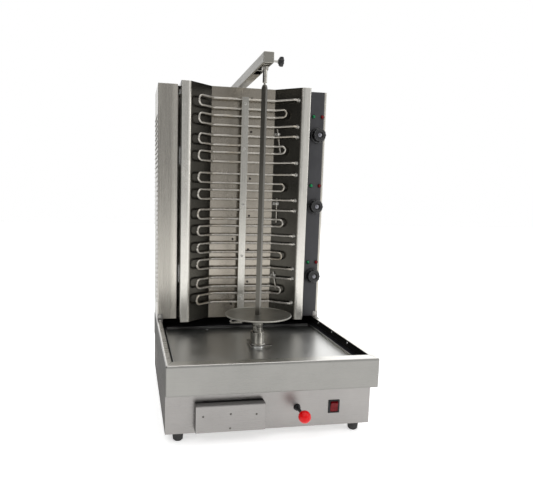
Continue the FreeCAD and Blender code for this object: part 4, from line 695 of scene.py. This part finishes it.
def add_lamp_bezels():
    """Black rings round the pilot lamps."""
    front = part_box("control_panel")[0].y
    for colour in ("green", "red"):
        low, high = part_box(f"pilot_lamps_{colour}")
        for index, z in enumerate(LAMP_HEIGHTS):
            bezel = turned_piece(f"lamp_bezel_{colour}_{index + 1}", millimetres(LAMP_BEZEL),
                                 ((low.x + high.x) / 2, front, z), (0, -1, 0), MATERIALS["plastic"], 64)
            attach(bezel, ROOT)


BEAD_PROFILE = [(-1.0, -0.2), (-0.9, 0.35), (-0.5, 0.85), (0.0, 1.0), (0.5, 0.85), (0.9, 0.35), (1.0, -0.2)]
BEAD_STEPS = 24
BEAD_SWELL = 0.12           # how much its width comes and goes


def bead(name, start, end, width, height, up, material):
    """A low rounded ridge between two points, such as a dressed weld."""
    start, end, up = Vector(start), Vector(end), Vector(up)
    side = (end - start).cross(up).normalized()
    work = bmesh.new()
    rows = []
    for step in range(BEAD_STEPS + 1):
        spot = start.lerp(end, step / BEAD_STEPS)
        swell = 1.0 + BEAD_SWELL * math.sin(step * 2.4)
        rows.append([work.verts.new(spot + side * (across * width / 2 * swell) + up * (rise * height))
                     for across, rise in BEAD_PROFILE])
    for row, after in zip(rows, rows[1:]):
        for index in range(len(BEAD_PROFILE)):
            following = (index + 1) % len(BEAD_PROFILE)
            work.faces.new((row[index], row[following], after[following], after[index]))
    work.faces.new(rows[0])
    work.faces.new(rows[-1])
    return finished_piece(name, work, material)


RIM_FRONT = 0.033           # widths of the surround's rim
RIM_SIDE = 0.016
RIM_BACK = 0.016
SEAM_INSET = 0.0035         # from the rim's outer corner
SEAM_WIDTH = 0.0016
SEAM_HEIGHT = 0.00025
SEAM_DROP = 0.0003          # of the seam's outer end


def add_rim_seams():
    """Dressed mitre welds across the four corners of the tray surround's rim."""
    top = TRAY_HIGH.z
    for side, side_name, edge_x in ((-1, "left", TRAY_LOW.x), (1, "right", TRAY_HIGH.x)):
        outer_x = edge_x - side * SEAM_INSET
        inner_x = edge_x - side * (RIM_SIDE - 0.0005)
        for place, edge_y, inset, rim in (("front", TRAY_LOW.y, SEAM_INSET, RIM_FRONT),
                                          ("rear", TRAY_HIGH.y, -SEAM_INSET, -RIM_BACK)):
            seam = bead(f"rim_weld_{place}_{side_name}", (outer_x, edge_y + inset, top - SEAM_DROP),
                        (inner_x, edge_y + rim * 0.97, top), SEAM_WIDTH, SEAM_HEIGHT, (0, 0, 1),
                        MATERIALS["weld"])
            attach(seam, ROOT)


STOP_BAR_Y = (0.2760, 0.2815)   # the bar's edges, measured back from the surround's face
STOP_BAR_DROP = 0.0012
STOP_BAR_INSET = 0.003


def add_arm_stop():
    """Bright weld bar across the arm's underside, where the pin's slot is stopped."""
    low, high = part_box("arm_tube")
    middle_y = TRAY_LOW.y + sum(STOP_BAR_Y) / 2
    width = STOP_BAR_Y[1] - STOP_BAR_Y[0]
    bar = bead("arm_stop_bar", (low.x + STOP_BAR_INSET, middle_y, low.z),
               (high.x - STOP_BAR_INSET, middle_y, low.z), width, STOP_BAR_DROP, (0, 0, -1),
               MATERIALS["strip"])
    attach(bar, ROOT)


def add_detail():
    add_arm_stop()
    add_knobs()
    add_ball()
    add_star_knob()
    add_lamp_bezels()
    add_rim_seams()


# ---- stage ----------------------------------------------------------------------------
FLOOR_REACH = 9.0


def add_floor():
    mesh = bpy.data.meshes.new("studio_floor")
    corners = [(x * FLOOR_REACH, y * FLOOR_REACH, 0) for x, y in ((-1, -1), (1, -1), (1, 1), (-1, 1))]
    mesh.from_pydata(corners, [], [(0, 1, 2, 3)])
    floor = bpy.data.objects.new("studio_floor", mesh)
    mesh.materials.append(floor_paper("floor_paper"))
    bpy.context.scene.collection.objects.link(floor)


def area_light(name, place, aim, size, power):
    data = bpy.data.lights.new(name, "AREA")
    data.shape = "RECTANGLE"
    data.size, data.size_y = size
    data.energy = power
    lamp = bpy.data.objects.new(name, data)
    lamp.location = place
    lamp.rotation_euler = (Vector(aim) - Vector(place)).to_track_quat("-Z", "Y").to_euler()
    bpy.context.scene.collection.objects.link(lamp)


# axis, component where the light starts, component where it is full, strength
WORLD_LOBES = (
    (1, -0.20, -0.95, 0.42),    # in front
    (2, 0.45, 0.95, 1.00),      # above
    (1, 0.60, 0.95, 1.25),      # behind
    (0, 0.27, 0.40, 0.55),      # front right
    (0, 0.55, 0.95, 0.30),      # right
    (0, -0.45, -0.95, 0.03),    # left
)


def lobe(tree, component, low, high, strength):
    """Light that grows as a direction's component goes from low to high."""
    ramp = tree.nodes.new("ShaderNodeMapRange")
    ramp.interpolation_type = "SMOOTHSTEP"
    for name, value in (("From Min", low), ("From Max", high), ("To Min", 0.0), ("To Max", strength)):
        ramp.inputs[name].default_value = value
    tree.links.new(component, ramp.inputs["Value"])
    return ramp.outputs["Result"]


def add_world():
    """Studio surroundings, brightest above and behind, dark on the left; white where seen."""
    world = bpy.data.worlds.new("studio")
    bpy.context.scene.world = world
    world.use_nodes = True
    tree = world.node_tree
    background = tree.nodes["Background"]
    coords = tree.nodes.new("ShaderNodeTexCoord")
    direction = tree.nodes.new("ShaderNodeSeparateXYZ")
    tree.links.new(coords.outputs["Generated"], direction.inputs[0])
    lobes = [lobe(tree, direction.outputs[axis], low, high, strength)
             for axis, low, high, strength in WORLD_LOBES]
    total = lobes[0]
    for part in lobes[1:]:
        add = tree.nodes.new("ShaderNodeMath")
        tree.links.new(total, add.inputs[0])
        tree.links.new(part, add.inputs[1])
        total = add.outputs[0]
    light_path = tree.nodes.new("ShaderNodeLightPath")
    choice = tree.nodes.new("ShaderNodeMix")
    choice.data_type = "FLOAT"
    choice.inputs[3].default_value = 1.0
    tree.links.new(light_path.outputs["Is Camera Ray"], choice.inputs["Factor"])
    tree.links.new(total, choice.inputs[2])
    background.inputs["Color"].default_value = (1.0, 1.0, 1.0, 1.0)
    tree.links.new(choice.outputs[0], background.inputs["Strength"])


# name, place, aim, size and watts
SOFTBOXES = (
    ("key_softbox", (-1.5, -2.4, 2.2), (0, 0, 0.5), (1.2, 1.0), 14),
    ("fill_softbox", (2.3, -1.6, 1.3), (0, 0, 0.4), (0.6, 1.4), 9),
    ("top_softbox", (0.2, -0.4, 2.8), (0, 0, 0.4), (1.4, 1.2), 9),
)

CAMERA_PLACE = (-0.3413, -1.4804, 0.6013)
CAMERA_YAW = math.radians(10.74)        # to the right
CAMERA_PITCH = math.radians(7.69)       # downwards
CAMERA_ROLL = math.radians(1.25)
CAMERA_LENS = 35.44
CAMERA_SHIFT = (0.0685, 0.0411)


def add_camera():
    data = bpy.data.cameras.new("camera")
    data.sensor_width = 36.0
    data.lens = CAMERA_LENS
    data.shift_x, data.shift_y = CAMERA_SHIFT
    data.clip_end = 60.0
    camera = bpy.data.objects.new("camera", data)
    forward = Vector((math.sin(CAMERA_YAW) * math.cos(CAMERA_PITCH),
                      math.cos(CAMERA_YAW) * math.cos(CAMERA_PITCH),
                      -math.sin(CAMERA_PITCH)))
    level = forward.cross(Vector((0, 0, 1))).normalized()
    rise = level.cross(forward)
    right = level * math.cos(CAMERA_ROLL) + rise * math.sin(CAMERA_ROLL)
    up = rise * math.cos(CAMERA_ROLL) - level * math.sin(CAMERA_ROLL)
    turn = Matrix((right, up, -forward)).transposed()
    camera.matrix_world = Matrix.Translation(CAMERA_PLACE) @ turn.to_4x4()
    bpy.context.scene.collection.objects.link(camera)
    bpy.context.scene.camera = camera


bpy.context.scene.view_settings.view_transform = "Standard"
finish_cad_nodes()
add_detail()
add_floor()
add_world()
for softbox in SOFTBOXES:
    area_light(*softbox)
add_camera()
